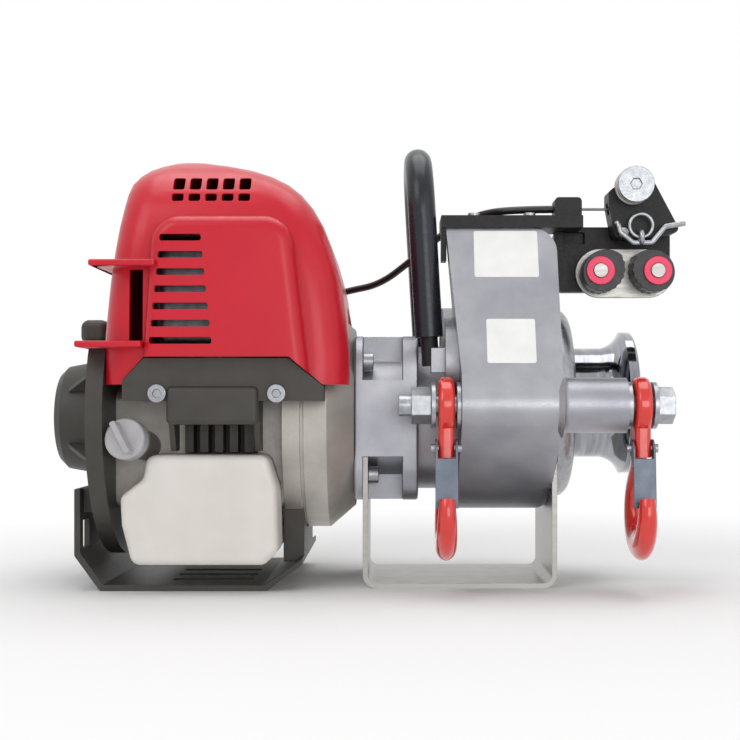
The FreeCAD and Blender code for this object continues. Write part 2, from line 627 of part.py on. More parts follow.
def mesh_phase(towards, driver_phase, driver_teeth, driven_teeth):
    """Turn in degrees that puts a driven gear's gap on the driver's tooth."""
    share = (towards - driver_phase) * driver_teeth / 360
    return towards + 180 - (0.5 - share) * 360 / driven_teeth


def set_gear(shape, phase, x, y, z):
    """A gear shape turned to its phase and moved to its axis."""
    moved = shape.copy()
    moved.Placement = Placement(spot(x, y, z), Rotation(EAST, phase))
    return moved


def bearing(radius, inner, width, x, y, z):
    """A plain ring that stands for a ball bearing."""
    place = spot(x, y, z)
    ring = Part.makeCylinder(number(radius), number(width), place, EAST)
    hole = Part.makeCylinder(number(inner) + number("running_gap"), number(width), place, EAST)
    return ring.cut(hole)


def shaft(radius, start, end, y, z):
    """A round shaft between two places along X."""
    return Part.makeCylinder(number(radius), number(end) - number(start), spot(start, y, z), EAST)


def make_strap():
    """Flat bar bent to a U, with holes for the clutch bolts and the strap screws."""
    half = "strap_length / 2"
    inside = "strap_length / 2 - strap_thickness"
    points = (
        (f"-{half}", "strap_left_height"), (f"-{half}", 0), (half, 0), (half, "strap_right_height"),
        (inside, "strap_right_height"), (inside, "strap_thickness"), (f"-({inside})", "strap_thickness"),
        (f"-({inside})", "strap_left_height"),
    )
    bar = prism(points, "strap_width", "XZ", (0, "strap_width / 2", 0))
    lengthwise = runs_along(NORTH)
    low = number("strap_thickness") / 2
    bent = rounded(bar, "strap_bend", lambda edge: lengthwise(edge) and edge.CenterOfMass.z < low)
    inner = number("strap_thickness")
    bent = rounded(bent, "strap_bend - strap_thickness", lambda edge: lengthwise(edge) and (
        abs(edge.CenterOfMass.z - inner) < low))
    tools = []
    for side in SIDES:
        tools.append(cylinder("screw_radius + hole_gap", "3 * strap_thickness", (
            "-strap_length / 2 - strap_thickness", f"{side} * clutch_bolt_spread",
            "crank_height - clutch_bolt_spread"), ALONG_X))
        tools.append(cylinder("screw_radius + hole_gap", "3 * strap_thickness", (
            "leg_face - strap_thickness", f"{side} * strap_screw_spread", "strap_screw_height"), ALONG_X))
    tools.append(cylinder("clutch_core_radius + hole_gap", "2 * strap_thickness", (
        "-strap_length / 2 - strap_thickness / 2", 0, "crank_height"), ALONG_X))
    tools.append(box(("2 * strap_thickness", "2 * pocket_start + 2 * hole_gap", "clutch_half"), (
        "-strap_length / 2 - strap_thickness / 2", "-pocket_start - hole_gap",
        "crank_height - clutch_half - hole_gap")))
    node(cut(bent, *tools), "foot_strap")
    for side in SIDES:
        place = spot("leg_face", f"{side} * strap_screw_spread", "strap_screw_height")
        length = number("strap_screw_depth")
        LARGE_SCREWS.append(Part.makeCylinder(number("screw_radius"), length + number("strap_thickness"),
                                              place - EAST * length, EAST))


def make_clutch_housing():
    """Square casting between engine and gear cover, with corner pockets over the four bolts."""
    half = "clutch_half"
    points = (
        (f"-{half}", f"-{half}"), (half, f"-{half}"), (half, half), (f"-{half}", half),
    )
    block = prism(points, "clutch_length", "YZ", ("engine_face", 0, "crank_height"))
    block = rounded(block, "clutch_corner", runs_along(EAST))
    block = rounded(block, "clutch_edge", lambda edge: not runs_along(EAST)(edge))
    pockets = []
    for across in SIDES:
        for up in SIDES:
            y = "pocket_start" if across > 0 else "-pocket_start - clutch_half"
            z = "crank_height + pocket_start" if up > 0 else "crank_height - pocket_start - clutch_half"
            pockets.append(box(("clutch_length - clutch_flange - clutch_web", half, half), (
                "engine_face + clutch_flange", y, z)))
    body = join(cut(block, *pockets), cylinder("clutch_core_radius", "clutch_length", (
        "engine_face", 0, "crank_height"), ALONG_X))
    tools = [
        cylinder("clutch_bore", "clutch_length - clutch_end_wall", ("engine_face", 0, "crank_height"),
            ALONG_X),
        cylinder("input_bearing_radius", "clutch_length", ("engine_face", 0, "crank_height"), ALONG_X),
    ]
    for across in SIDES:
        for up in SIDES:
            tools.append(cylinder("screw_radius + hole_gap", "clutch_flange", (
                "engine_face", f"{across} * clutch_bolt_spread",
                f"crank_height + {up} * clutch_bolt_spread"), ALONG_X))
    node(cut(body, *tools), "clutch_housing")
    for across in SIDES:
        for up in SIDES:
            seat_x = "engine_face + clutch_flange"
            if up < 0:
                seat_x += " + strap_thickness"
            place = spot(seat_x, f"{across} * clutch_bolt_spread",
                f"crank_height + {up} * clutch_bolt_spread")
            length = number(f"{seat_x} - engine_face + fan_wall")
            LARGE_SCREWS.append(screw_shape(number("screw_radius"), length, number("screw_head_radius"),
                                            number("screw_head_height"), place, EAST))


def make_gear_cover():
    """Round neck and flange that close the gear housing and carry three bearings."""
    neck = cylinder("collar_radius", "collar_length", ("clutch_end", 0, "crank_height"), ALONG_X)
    face = "case_left - cover_flange"
    flange = cylinder("cover_flange_radius", "cover_flange", (face, 0, "drum_height"), ALONG_X)
    lobe = cylinder("lobe_radius", "cover_flange", ("case_left - cover_flange", "second_y", "second_z"),
        ALONG_X)
    tools = [
        cylinder("input_bearing_radius", "collar_length", ("clutch_end", 0, "crank_height"), ALONG_X),
        cylinder("small_bearing_radius", "cover_bearing_width", (
            "case_left - cover_bearing_width", "first_y", "first_z"), ALONG_X),
        cylinder("small_bearing_radius", "small_bearing_width", (
            "case_left - small_bearing_width", "second_y", "second_z"), ALONG_X),
    ]
    for turn in COVER_SCREW_TURNS:
        tools.append(cylinder("small_screw_radius + hole_gap", "cover_flange", (
            "case_left - cover_flange", f"cover_screw_circle * cos({turn})",
            f"drum_height + cover_screw_circle * sin({turn})"), ALONG_X))
    lugs = []
    for y in ("-handle_front", "handle_back"):
        lugs.append(box((f"{face} + handle_x", "2 * lug_half", "lug_height"),
            ("-handle_x", f"{y} - lug_half", "lug_low")))
    bar = solid(rod(handle_route(), number("bar_radius")))
    node(cut(join(neck, flange, lobe, *lugs), bar, *tools), "gear_cover")
    for turn in COVER_SCREW_TURNS:
        place = spot("case_left - cover_flange", f"cover_screw_circle * cos({turn})",
                     f"drum_height + cover_screw_circle * sin({turn})")
        length = number("cover_flange + small_screw_length")
        SMALL_SCREWS.append(screw_shape(number("small_screw_radius"), length, number("small_head_radius"),
                                        number("small_head_height"), place, -EAST))


def make_gear_housing():
    """Casting with a round gear case, a slanted wing above it and a nose arm for the hook bolt."""
    chin_out = "-sin(chin_angle)"
    chin_down = "-cos(chin_angle)"
    side = (
        ("wing_front", "wing_foot"), ("wing_crest", "wing_top"),
        ("wing_crest + wing_thickness", "wing_top"),
        ("wing_crest + wing_thickness", "drum_height"), (0, "drum_height"),
        (f"case_radius * {chin_out}", f"drum_height + case_radius * ({chin_down})"),
        (f"-bolt_front + nose_radius * ({chin_out})", f"bolt_height + nose_radius * ({chin_down})"),
        ("-bolt_front", "bolt_height"),
    )
    slab = prism(side, "wing_left + case_right", "YZ", ("-wing_left", 0, 0))
    front = (
        ("case_left", "drum_height - case_radius"), ("leg_face", "drum_height - case_radius"),
        ("wing_right", "bolt_height"), ("wing_right", "wing_top - wing_corner"),
        ("wing_right - wing_corner", "wing_top", "wing_corner", 1), ("-wing_left", "wing_top"),
        ("-wing_left", "wing_flare_high"), ("case_left", "wing_flare_low"),
    )
    face = prism(front, "2 * bolt_front + 2 * nose_radius", "XZ", (0, "bolt_front", 0))
    case = turned((
        ("case_left", 0), ("case_right", 0), ("case_right", "case_radius - case_edge"),
        ("case_right - case_edge", "case_radius", "case_edge", 1), ("case_left", "case_radius"),
    ), (0, 0, "drum_height"))
    arm = turned((
        ("case_left", 0), ("arm_length", 0), ("arm_length", "nose_radius"),
        ("wing_right + arm_fillet", "nose_radius"),
        ("wing_right", "nose_radius + arm_fillet", "arm_fillet", -1),
        ("wing_right - arm_fillet", "nose_radius"),
        ("case_left", "nose_radius"),
    ), (0, "-bolt_front", "bolt_height"))
    body = join(common(slab, face), case, arm)
    tools = [
        cylinder("cavity_radius", "cavity_right - case_left", ("case_left", 0, "drum_height"), ALONG_X),
        cylinder("gear_pocket_radius", "stage_three - case_left", ("case_left", "second_y", "second_z"),
            ALONG_X),
        cylinder("pinion_pocket_radius", "cavity_right - case_left",
            ("case_left", "second_y", "second_z"), ALONG_X),
        cylinder("shaft_bearing_radius", "case_right_wall", ("cavity_right", 0, "drum_height"), ALONG_X),
        cylinder("small_bearing_radius", "small_bearing_width", ("cavity_right", "second_y", "second_z"),
            ALONG_X),
        cylinder("bolt_radius + hole_gap", "arm_length - case_left",
            ("case_left", "-bolt_front", "bolt_height"), ALONG_X),
        box(("strap_thickness", "strap_width", "strap_right_height"),
            ("leg_face", "-strap_width / 2", 0)),
        cylinder("cover_flange_radius + hole_gap", "cover_flange",
            ("case_left - cover_flange", 0, "drum_height"), ALONG_X),
        cylinder("lobe_radius + hole_gap", "cover_flange",
            ("case_left - cover_flange", "second_y", "second_z"), ALONG_X),
    ]
    for across in SIDES:
        tools.append(cylinder("screw_radius", "strap_screw_depth", (
            "leg_face - strap_screw_depth", f"{across} * strap_screw_spread", "strap_screw_height"),
            ALONG_X))
    for turn in COVER_SCREW_TURNS:
        tools.append(cylinder("small_screw_radius", "small_screw_length", (
            "case_left", f"cover_screw_circle * cos({turn})",
            f"drum_height + cover_screw_circle * sin({turn})"), ALONG_X))
    for across in ("bracket_screw_left", "bracket_screw_right"):
        tools.append(cylinder("small_screw_radius", "small_screw_length", (
            across, "wing_crest + wing_thickness / 2", "wing_top - small_screw_length")))
    node(cut(body, *tools), "gear_housing")
    bulge = "(ring_outer - ring_inner) / 2"
    node(turned((
        ("case_right", "ring_inner"), ("case_right + ring_land", "ring_inner"),
        (f"case_right + ring_land + {bulge}", "(ring_inner + ring_outer) / 2", bulge, 1),
        ("case_right + ring_land", "ring_outer", bulge, 1), ("case_right", "ring_outer"),
    ), (0, 0, "drum_height")), "rope_ring")


def make_gears():
    """Three spur stages from the clutch drum to the drum shaft, and their bearings."""
    teeth = int(number("pinion_teeth"))
    spots = {
        "input": (0.0, number("crank_height")), "first": (number("first_y"), number("first_z")),
        "second": (number("second_y"), number("second_z")), "drum": (0.0, number("drum_height")),
    }

    def towards(start, end):
        (y0, z0), (y1, z1) = spots[start], spots[end]
        return math.degrees(math.atan2(z1 - z0, y1 - y0))

    counts = [int(number(name)) for name in ("gear_one_teeth", "gear_two_teeth", "gear_three_teeth")]
    phases = [
        mesh_phase(towards("input", "first"), 0, teeth, counts[0]),
        mesh_phase(towards("first", "second"), 0, teeth, counts[1]),
        mesh_phase(towards("second", "drum"), 0, teeth, counts[2]),
    ]
    lap = "pinion_overlap"
    width = number("stage_width")
    pinion_width = width + 2 * number(lap)
    pinion = gear_shape(teeth, number("module_one"), pinion_width)
    bell = turned((
        ("bell_left", "bell_radius - bell_wall"), ("bell_left", "bell_radius"),
        ("bell_right", "bell_radius"),
        ("bell_right", "input_shaft_radius"), (f"stage_one - 2 * {lap}", "input_shaft_radius"),
        (f"stage_one - 2 * {lap}", 0), ("bell_right - bell_web", 0),
        ("bell_right - bell_web", "bell_radius - bell_wall"),
    ), (0, 0, "crank_height"))
    stub = shaft(f"module_one * pinion_teeth / 2 - {DEDENDUM_SHARE} * module_one",
        f"stage_one - 2 * {lap}", f"stage_one + {lap}",
                 0, "crank_height")
    tip = set_gear(pinion, 0, f"stage_one - {lap}", 0, "crank_height")
    node(join(bell, solid(stub), solid(tip)), "clutch_drum")
    node(solid(set_gear(gear_shape(counts[0], number("module_one"), width), phases[0], "stage_one",
        "first_y", "first_z")
               .fuse(set_gear(gear_shape(teeth, number("module_two"),
                   number("stage_step - stage_width / 2 + stage_width")),
                              0, "stage_one + stage_width / 2", "first_y", "first_z"))
               .fuse(shaft("small_shaft_radius", "case_left - cover_bearing_width",
                   "stage_one + stage_width / 2",
                           "first_y", "first_z"))), "counter_one")
    last = "last_stage_width"
    node(solid(set_gear(gear_shape(counts[1], number("module_two"), width), phases[1], "stage_two",
        "second_y", "second_z")
               .fuse(set_gear(gear_shape(teeth, number("module_three"),
                   number(f"{last} + stage_step - {lap}")), 0,
                              f"stage_two + 2 * {lap}", "second_y", "second_z"))
               .fuse(shaft("small_shaft_radius", "case_left - small_bearing_width",
                           "cavity_right + small_bearing_width", "second_y", "second_z"))), "counter_two")
    wheel = gear_shape(counts[2], number("module_three"), number(last))
    hole = Part.makeCylinder(number("shaft_radius"), number(last), Vector(), EAST)
    node(solid(set_gear(wheel.cut(hole), phases[2], "stage_three", 0, "drum_height")), "output_gear")
    rings = [
        bearing("input_bearing_radius", "input_shaft_radius", "clutch_end_wall",
            "clutch_end - clutch_end_wall", 0,
                "crank_height"),
        bearing("input_bearing_radius", "input_shaft_radius", "small_bearing_width", "clutch_end", 0,
            "crank_height"),
        bearing("small_bearing_radius", "small_shaft_radius", "small_bearing_width",
                "case_left - cover_bearing_width", "first_y", "first_z"),
        bearing("small_bearing_radius", "small_shaft_radius", "small_bearing_width",
                "case_left - small_bearing_width", "first_y", "first_z"),
        bearing("small_bearing_radius", "small_shaft_radius", "small_bearing_width",
                "case_left - small_bearing_width", "second_y", "second_z"),
        bearing("small_bearing_radius", "small_shaft_radius", "small_bearing_width", "cavity_right",
            "second_y",
                "second_z"),
        bearing("shaft_bearing_radius", "shaft_radius", "case_right_wall", "cavity_right", 0,
            "drum_height"),
    ]
    node(solid(Part.makeCompound(rings)), "bearings")


def make_drum():
    """Polished capstan drum with a belled rim, on its shaft, held by an end bolt and washer."""
    face = "drum_end - drum_recess"
    web = "drum_end - drum_recess - drum_web"
    inner = "drum_barrel - drum_wall"
    node(turned((
        ("drum_start", "drum_barrel"), ("drum_flare_start", "drum_barrel"),
        ("drum_rim_start", "drum_rim", "drum_flare", 1), ("drum_end - drum_edge", "drum_rim"),
        ("drum_end", "drum_rim - drum_edge", "drum_edge", -1), ("drum_end", "drum_recess_mouth"),
        (face, "drum_recess_radius"), (face, "shaft_radius"),
        ("drum_start + hub_setback", "shaft_radius"),
        ("drum_start + hub_setback", "hub_radius"), (web, "hub_radius"), (web, inner),
        ("drum_start", inner),
    ), (0, 0, "drum_height")), "capstan_drum")
    node(turned((
        ("stage_three", 0), (f"{face} - end_bolt_length", 0),
        (f"{face} - end_bolt_length", "end_bolt_radius"),
        (face, "end_bolt_radius"), (face, "shaft_radius"), ("stage_three", "shaft_radius"),
    ), (0, 0, "drum_height")), "drum_shaft")
    washer = cylinder("end_washer_radius", "end_washer", (face, 0, "drum_height"), ALONG_X)
    head = hexagon("2 * end_bolt_head", "end_bolt_head_height",
        (f"{face} + end_washer", 0, "drum_height"), ALONG_X)
    shank = cylinder("end_bolt_radius", "end_bolt_length + end_washer", (
        f"{face} - end_bolt_length", 0, "drum_height"), ALONG_X)
    node(join(washer, head, shank), "drum_bolt")


def make_clutch():
    """Flywheel fan with two shoe pins, and the two half-round shoes on them."""
    boss_right = "bell_left - shoe_clear"
    wheel_right = f"{boss_right} - flywheel_boss"
    wheel = turned((
        (f"{wheel_right} - flywheel_width", "crank_radius"), (boss_right, "crank_radius"),
        (boss_right, "shoe_radius - shoe_clear"), (wheel_right, "shoe_radius - shoe_clear"),
        (wheel_right, "flywheel_radius"), (f"{wheel_right} - flywheel_width", "flywheel_radius"),
    ), (0, 0, "crank_height"))
    pins = []
    for side in SIDES:
        pins.append(cylinder("shoe_pin_radius", "shoe_clear + shoe_length", (
            boss_right, f"{side} * shoe_pin_side", f"crank_height + {side} * shoe_pin_up"), ALONG_X))
    blades = []
    for step in range(BLADES):
        blade = Part.makeBox(number("blade_height"), number("flywheel_radius / 3"),
            number("blade_thickness"))
        blade.translate(Vector(0, number("flywheel_radius / 2"), 0))
        blade.rotate(Vector(), EAST, 360 / BLADES * step)
        blade.translate(spot(f"{wheel_right} - flywheel_width - blade_height", 0, "crank_height"))
        blades.append(solid(blade))
    node(join(wheel, *pins, *blades), "flywheel")
    for side, label in zip(SIDES, ("clutch_shoe_front", "clutch_shoe_rear")):
        disc = cylinder("shoe_radius", "shoe_length", ("bell_left", 0, "crank_height"), ALONG_X)
        y = "shoe_split" if side > 0 else "-shoe_split - shoe_radius"
        half = common(disc, box(("shoe_length", "shoe_radius", "2 * shoe_radius"), (
            "bell_left", y, "crank_height - shoe_radius")))
        node(cut(half, cylinder("shoe_relief", "shoe_length", ("bell_left", 0, "crank_height"), ALONG_X),
            cylinder(
            "shoe_pin_radius + running_gap", "shoe_length", (
                "bell_left", f"{side} * shoe_pin_side", f"crank_height + {side} * shoe_pin_up"),
                ALONG_X)), label)


def make_engine():
    """Crankcase with its finned cylinder, crankshaft and fan housing."""
    middle = "-cylinder_x"
    chamber = f"{middle} - chamber_length / 2"
    block = box(("block_length", "block_front + block_back", "block_high - block_low"), (
        "block_left", "-block_front", "block_low"))
    block = rounded(block, "block_edge", runs_along(EAST))
    barrel = cylinder("barrel_radius", "barrel_top - crank_height", ("-cylinder_x", 0, "crank_height"))
    fins = []
    count = int(number("(barrel_top - block_high) / fin_pitch"))
    for step in range(count):
        fins.append(cylinder("fin_radius", "fin_thickness", (
            "-cylinder_x", 0, f"barrel_top - fin_thickness - {step} * fin_pitch")))
    ribs = []
    for step in range(RIBS):
        ribs.append(box(("rib_thickness", "rib_depth", "block_high - block_edge - rib_low"), (
            f"-under_lip_left + rib_start + {step} * rib_pitch", "-block_front - rib_depth", "rib_low")))
    neck = cylinder("oil_neck_radius", "2 * oil_neck", OIL_PLACE, oil_turn())
    bores = [
        cylinder("crank_chamber", "chamber_length", (chamber, 0, "crank_height"), ALONG_X),
        cylinder("crank_radius + running_gap", "block_length", ("block_left", 0, "crank_height"),
            ALONG_X),
        cylinder("cylinder_bore", "barrel_top - crank_height - fin_pitch",
            ("-cylinder_x", 0, "crank_height")),
        cylinder("plug_radius / 2", "2 * fin_pitch", ("-cylinder_x", 0, "barrel_top - 2 * fin_pitch")),
    ]
    node(cut(join(block, barrel, neck, *fins, *ribs), *bores), "crankcase")
    end = "bell_left - shoe_clear"
    main = cylinder("crank_radius", f"{end} - disc_left", ("disc_left", 0, "crank_height"), ALONG_X)
    webs = [
        cylinder("crank_web_radius", "crank_web", (f"{middle} - 2 * crank_web", 0, "crank_height"),
            ALONG_X),
        cylinder("crank_web_radius", "crank_web", (f"{middle} + crank_web", 0, "crank_height"), ALONG_X),
        cylinder("crank_pin_radius", "4 * crank_web", (
            f"{middle} - 2 * crank_web", 0, "crank_height + crank_throw"), ALONG_X),
    ]
    gap = cylinder("crank_radius", "2 * crank_web", (f"{middle} - crank_web", 0, "crank_height"), ALONG_X)
    node(join(cut(main, gap), *webs), "crankshaft")
    groove = "fan_radius - band_groove"
    chamfer = "engine_face - fan_chamfer"
    ring = turned((
        ("fan_left", "fan_inner"), ("fan_left", "fan_radius"),
        ("fan_left + band_pitch - band_groove_width", "fan_radius"),
        ("fan_left + band_pitch - band_groove_width", groove),
        ("fan_left + band_pitch", groove), ("fan_left + band_pitch", "fan_radius"),
        (chamfer, "fan_radius"), ("engine_face", "fan_mouth_radius"), ("engine_face", "fan_opening"),
        ("engine_face - fan_wall", "fan_opening"),
        ("engine_face - fan_wall", "fan_mouth_radius - fan_wall"),
        (chamfer, "fan_inner"),
    ), (0, 0, "crank_height"))
    holes = []
    for across in SIDES:
        for up in SIDES:
            holes.append(cylinder("screw_radius", "fan_wall", (
                "engine_face - fan_wall", f"{across} * clutch_bolt_spread",
                f"crank_height + {up} * clutch_bolt_spread"),
                ALONG_X))
    node(cut(ring, *holes), "fan_housing")


def oil_turn():
    """Turn that points the oil neck forward and to the left."""
    lean = math.radians(number("oil_turn"))
    return Rotation(UP, Vector(-math.sin(lean), -math.cos(lean), math.sin(lean)))


def make_oil_cap():
    """Oil filler cap with a finger wing."""
    turn = oil_turn()
    axis = turn.multVec(UP)
    start = spot(*OIL_PLACE) + axis * 2 * number("oil_neck")
    cap = Part.makeCylinder(number("oil_cap_radius"), number("oil_cap"), start, axis)
    cap = cap.makeFillet(number("oil_cap") / 5, [cap.Edges[0]])
    thick = number("oil_wing_thickness")
    wing = Part.makeBox(2 * number("oil_cap_radius") * WING_SHARE, thick, number("oil_wing"))
    wing.translate(Vector(-number("oil_cap_radius") * WING_SHARE, -thick / 2, 0))
    wing = wing.makeFillet(thick / 3, wing.Edges)
    wing.rotate(Vector(), UP, number("oil_wing_turn"))
    wing.Placement = Placement(start + axis * number("oil_cap") / 2, turn).multiply(wing.Placement)
    node(solid(cap.fuse(wing)), "oil_cap")


def make_starter():
    """Recoil starter: cover with boss and gussets, reel on a post, rope and grip."""
    inner = "boss_end_radius - boss_wall"
    reel_left = "reel_right - reel_width"
    shell = turned((
        ("block_left", "crank_radius + boss_wall"), ("block_left", "disc_radius"),
        ("disc_left", "disc_radius"),
        ("disc_left", "boss_radius"), ("boss_left + boss_edge", "boss_end_radius"),
        ("boss_left", "boss_end_radius - boss_edge"), ("boss_left", 0), (f"{reel_left} - moving_gap", 0),
        (f"{reel_left} - moving_gap", inner), ("disc_left + boss_wall", inner),
        ("disc_left + boss_wall", "crank_radius + boss_wall"),
    ), (0, 0, "crank_height"))
    post = cylinder("post_radius", "reel_width + 2 * moving_gap",
        (f"{reel_left} - moving_gap", 0, "crank_height"), ALONG_X)
    gussets = []
    for turn in GUSSET_TURNS:
        wedge = Part.Face(Part.makePolygon([
            spot("disc_left", "boss_radius - boss_wall", 0),
            spot("disc_left", "boss_radius + gusset_length", 0),
            spot("disc_left - gusset_length", "boss_radius - boss_wall", 0),
            spot("disc_left", "boss_radius - boss_wall", 0)]))
        plate = wedge.extrude(UP * number("gusset_thickness"))
        plate.translate(UP * -number("gusset_thickness") / 2)
        plate.rotate(Vector(), EAST, turn)
        plate.translate(spot(0, 0, "crank_height"))
        gussets.append(solid(plate))
    top = box(("disc_thickness", "2 * disc_radius", "disc_radius"),
        ("disc_left", "-disc_radius", "disc_cut_height"))
    exit_hole = cylinder("rope_radius + hole_gap", "boss_radius",
        ("reel_middle", "reel_radius", "crank_height"))
    node(cut(join(shell, post, *gussets), top, exit_hole), "starter_cover")
    node(turned((
        (reel_left, "post_radius + running_gap"), (reel_left, "reel_flange"),
        ("reel_middle - reel_groove / 2", "reel_flange"),
        ("reel_middle - reel_groove / 2", "reel_radius - 2 * rope_radius"),
        ("reel_middle + reel_groove / 2", "reel_radius - 2 * rope_radius"),
        ("reel_middle + reel_groove / 2", "reel_flange"),
        ("reel_right", "reel_flange"), ("reel_right", "post_radius + running_gap"),
    ), (0, 0, "crank_height")), "starter_reel")
    node(cylinder("rope_radius", "grip_low - crank_height",
        ("reel_middle", "reel_radius", "crank_height")), "starter_rope")
    neck = cylinder("grip_neck_radius", "grip_neck + grip_height / 2",
        ("reel_middle", "reel_radius", "grip_low"))
    bar = box(("grip_depth", "grip_bar", "grip_height"), (
        "reel_middle - grip_depth / 2", "reel_radius - grip_bar / 2", "grip_low + grip_neck"))
    bar = rounded(bar, "grip_edge", all_edges)
    node(join(bar, neck), "starter_grip")


def cover_wire(height, left, right, front, back, corner):
    """Rounded rectangle at one height."""
    centres = (
        (right - corner, back - corner), (left + corner, back - corner),
        (left + corner, front + corner), (right - corner, front + corner),
    )
    arcs = []
    for quarter, (x, y) in enumerate(centres):
        spots = []
        for step in range(3):
            angle = (2 * quarter + step) * math.pi / len(centres)
            spots.append(Vector(x + corner * math.cos(angle), y + corner * math.sin(angle), height))
        arcs.append(Part.Arc(*spots).toShape())
    edges = []
    for arc, following in zip(arcs, arcs[1:] + arcs[:1]):
        edges.append(arc)
        edges.append(Part.LineSegment(arc.Vertexes[-1].Point, following.Vertexes[0].Point).toShape())
    return Part.Wire(edges)


def cover_loft(inset):
    """Domed solid through the cover sections, drawn in by an inset."""
    left = number("disc_left - cover_left_over + disc_thickness")
    right = number("engine_face - cover_right_back")
    front, back = -number("cover_front"), number("cover_back")
    bottom, height = number("cover_bottom"), number("cover_height")
    wires = []
    for level, low_x, high_x, low_y, high_y in COVER_SHARES:
        x0, x1 = left + (right - left) * low_x + inset, left + (right - left) * high_x - inset
        y0, y1 = front + (back - front) * low_y + inset, front + (back - front) * high_y - inset
        corner = min(number("cover_corner"), (x1 - x0) * CORNER_SHARE, (y1 - y0) * CORNER_SHARE)
        wires.append(cover_wire(bottom + height * level - inset * level, x0, x1, y0, y1, corner))
    return Part.makeLoft(wires, True, True)


def front_panel(inset):
    """Raised front panel of the hood with rounded upper corners and edges, drawn in by an inset."""
    points = (
        (f"-panel_left + {inset}", "cover_bottom"), (f"-panel_left_top + {inset}", f"panel_high - {inset}"),
        (f"-panel_right_top - {inset}", f"panel_high - {inset}"),
        (f"-panel_right - {inset}", "cover_bottom"),
    )
    face = f"panel_front - {inset}"
    middle = number("(cover_bottom + panel_high) / 2")
    block = prism(points, f"{face} - fin_radius", "XZ", (0, "-fin_radius", 0))
    block = rounded(block, f"panel_corner - {inset}",
                    lambda edge: runs_along(NORTH)(edge) and edge.CenterOfMass.z > middle)
    return rounded(block, f"panel_edge - {inset}", lambda edge: (
        abs(edge.CenterOfMass.y + number(face)) < number("hole_gap")
        and edge.CenterOfMass.z > number("cover_bottom + hole_gap")))


def make_top_cover():
    """Red hood with a raised panel, louvres, top vents, two shelves, a slot and an arched lower edge."""
    outer = solid(cover_loft(0))
    inner = solid(cover_loft(number("cover_wall")))
    upper = box(("shelf_length", "shelf_depth", "shelf_thickness"),
        ("-shelf_upper_left", "-shelf_front", "shelf_upper"))
    lower = box(("shelf_length", "shelf_depth", "shelf_thickness"),
        ("-shelf_lower_left", "-shelf_front", "shelf_lower"))
    shelves = []
    for shelf in (upper, lower):
        shelves.append(rounded(shelf, "shelf_thickness / 3", all_edges))
    tools = []
    for step in range(LOUVRES):
        grow = f"{step} * louvre_grow"
        tools.append(rounded(box((f"louvre_length + {grow} * 2", "cover_front", "louvre_height"), (
            f"-louvre_left - {grow}", "-cover_front - fin_radius",
            f"louvre_top - {step} * louvre_pitch")), "louvre_round", runs_along(NORTH)))
    for step in range(VENTS):
        for low, height in (("vent_upper", "vent_tall"), ("vent_lower", "vent_short")):
            tools.append(rounded(box(("vent_width", "vent_reach", height), (
                f"-vent_left + {step} * vent_pitch", "-cover_front", low)), "louvre_round",
                runs_along(NORTH)))
    tools.append(box(("slot_width", "cover_front", "slot_high - slot_low"), (
        "-slot_left", "-cover_front - fin_radius", "slot_low")))
    tools.append(prism(arch_points(0), "cover_front", "XZ", (0, "-fin_radius", 0)))
    tools.append(common(
        cylinder("disc_radius + cover_gap", "disc_thickness + 2 * cover_gap", (
            "disc_left - cover_gap", 0, "crank_height"), ALONG_X),
        box(("disc_thickness + 2 * cover_gap", "2 * cover_front", "disc_cut_height + cover_gap"), (
            "disc_left - cover_gap", "-cover_front", 0))))
    tools.append(cylinder("fan_radius + cover_gap", "fan_length + cover_gap", (
        "fan_left - cover_gap", 0, "crank_height"), ALONG_X))
    tools.append(cylinder("stub_radius + cover_gap", "2 * cover_back", (
        "-cylinder_x", 0, "carb_low + carb_height / 2"), ALONG_Y))
    shell = cut(join(outer, front_panel("0"), *shelves), inner, front_panel("cover_wall"))
    node(cut(shell, *tools), "top_cover")


def arch_points(inset):
    """Outline of the arch under the hood's front, drawn in by an inset."""
    return (
        (f"-arch_left + {inset}", "under_low"), (f"-arch_right - {inset}", "under_low"),
        (f"-arch_right - {inset}", "arch_low"),
        (f"-arch_right_top - {inset}", f"arch_high - {inset}"),
        (f"-arch_left_top + {inset}", f"arch_high - {inset}"),
        (f"-arch_left + {inset}", "arch_low + cover_wall"),
    )


def make_under_cover():
    """Black shield under the hood's arch, with a lip and two screws."""
    plate = prism(arch_points("cover_gap"), "under_depth", "XZ", (0, "-under_front + under_depth", 0))
    lip = box(("under_lip_left - under_lip_right", "under_depth", "arch_low - under_lip_low"), (
        "-under_lip_left", "-under_front - under_lip_out", "under_lip_low"))
    lip = rounded(lip, "under_lip_out", all_edges)
    flanges = []
    for x in ("-under_lip_left", "-under_lip_right - flange_thickness"):
        flanges.append(prism((
            ("-under_front", "under_low"), ("-under_front + flange_taper", "flange_low"),
            ("-under_front + under_depth", "flange_low"), ("-under_front + under_depth", "under_low"),
        ), "flange_thickness", "YZ", (x, 0, 0)))
    tools = []
    for x in ("-under_screw_left", "-under_screw_right"):
        place = spot(x, "-under_front", "under_screw_height")
        LARGE_SCREWS.append(screw_shape(number("screw_radius"), number("under_screw_depth"),
            number("screw_head_radius"),
                                        number("screw_head_height / 2"), place, -NORTH))
        tools.append(cylinder("screw_radius", "under_screw_depth",
            (x, "-under_front", "under_screw_height"), ALONG_Y))
    tools.append(cylinder("fan_radius + hole_gap", "fan_length + hole_gap", (
        "fan_left - hole_gap", 0, "crank_height"), ALONG_X))
    node(cut(join(plate, lip, *flanges), *tools), "under_cover")


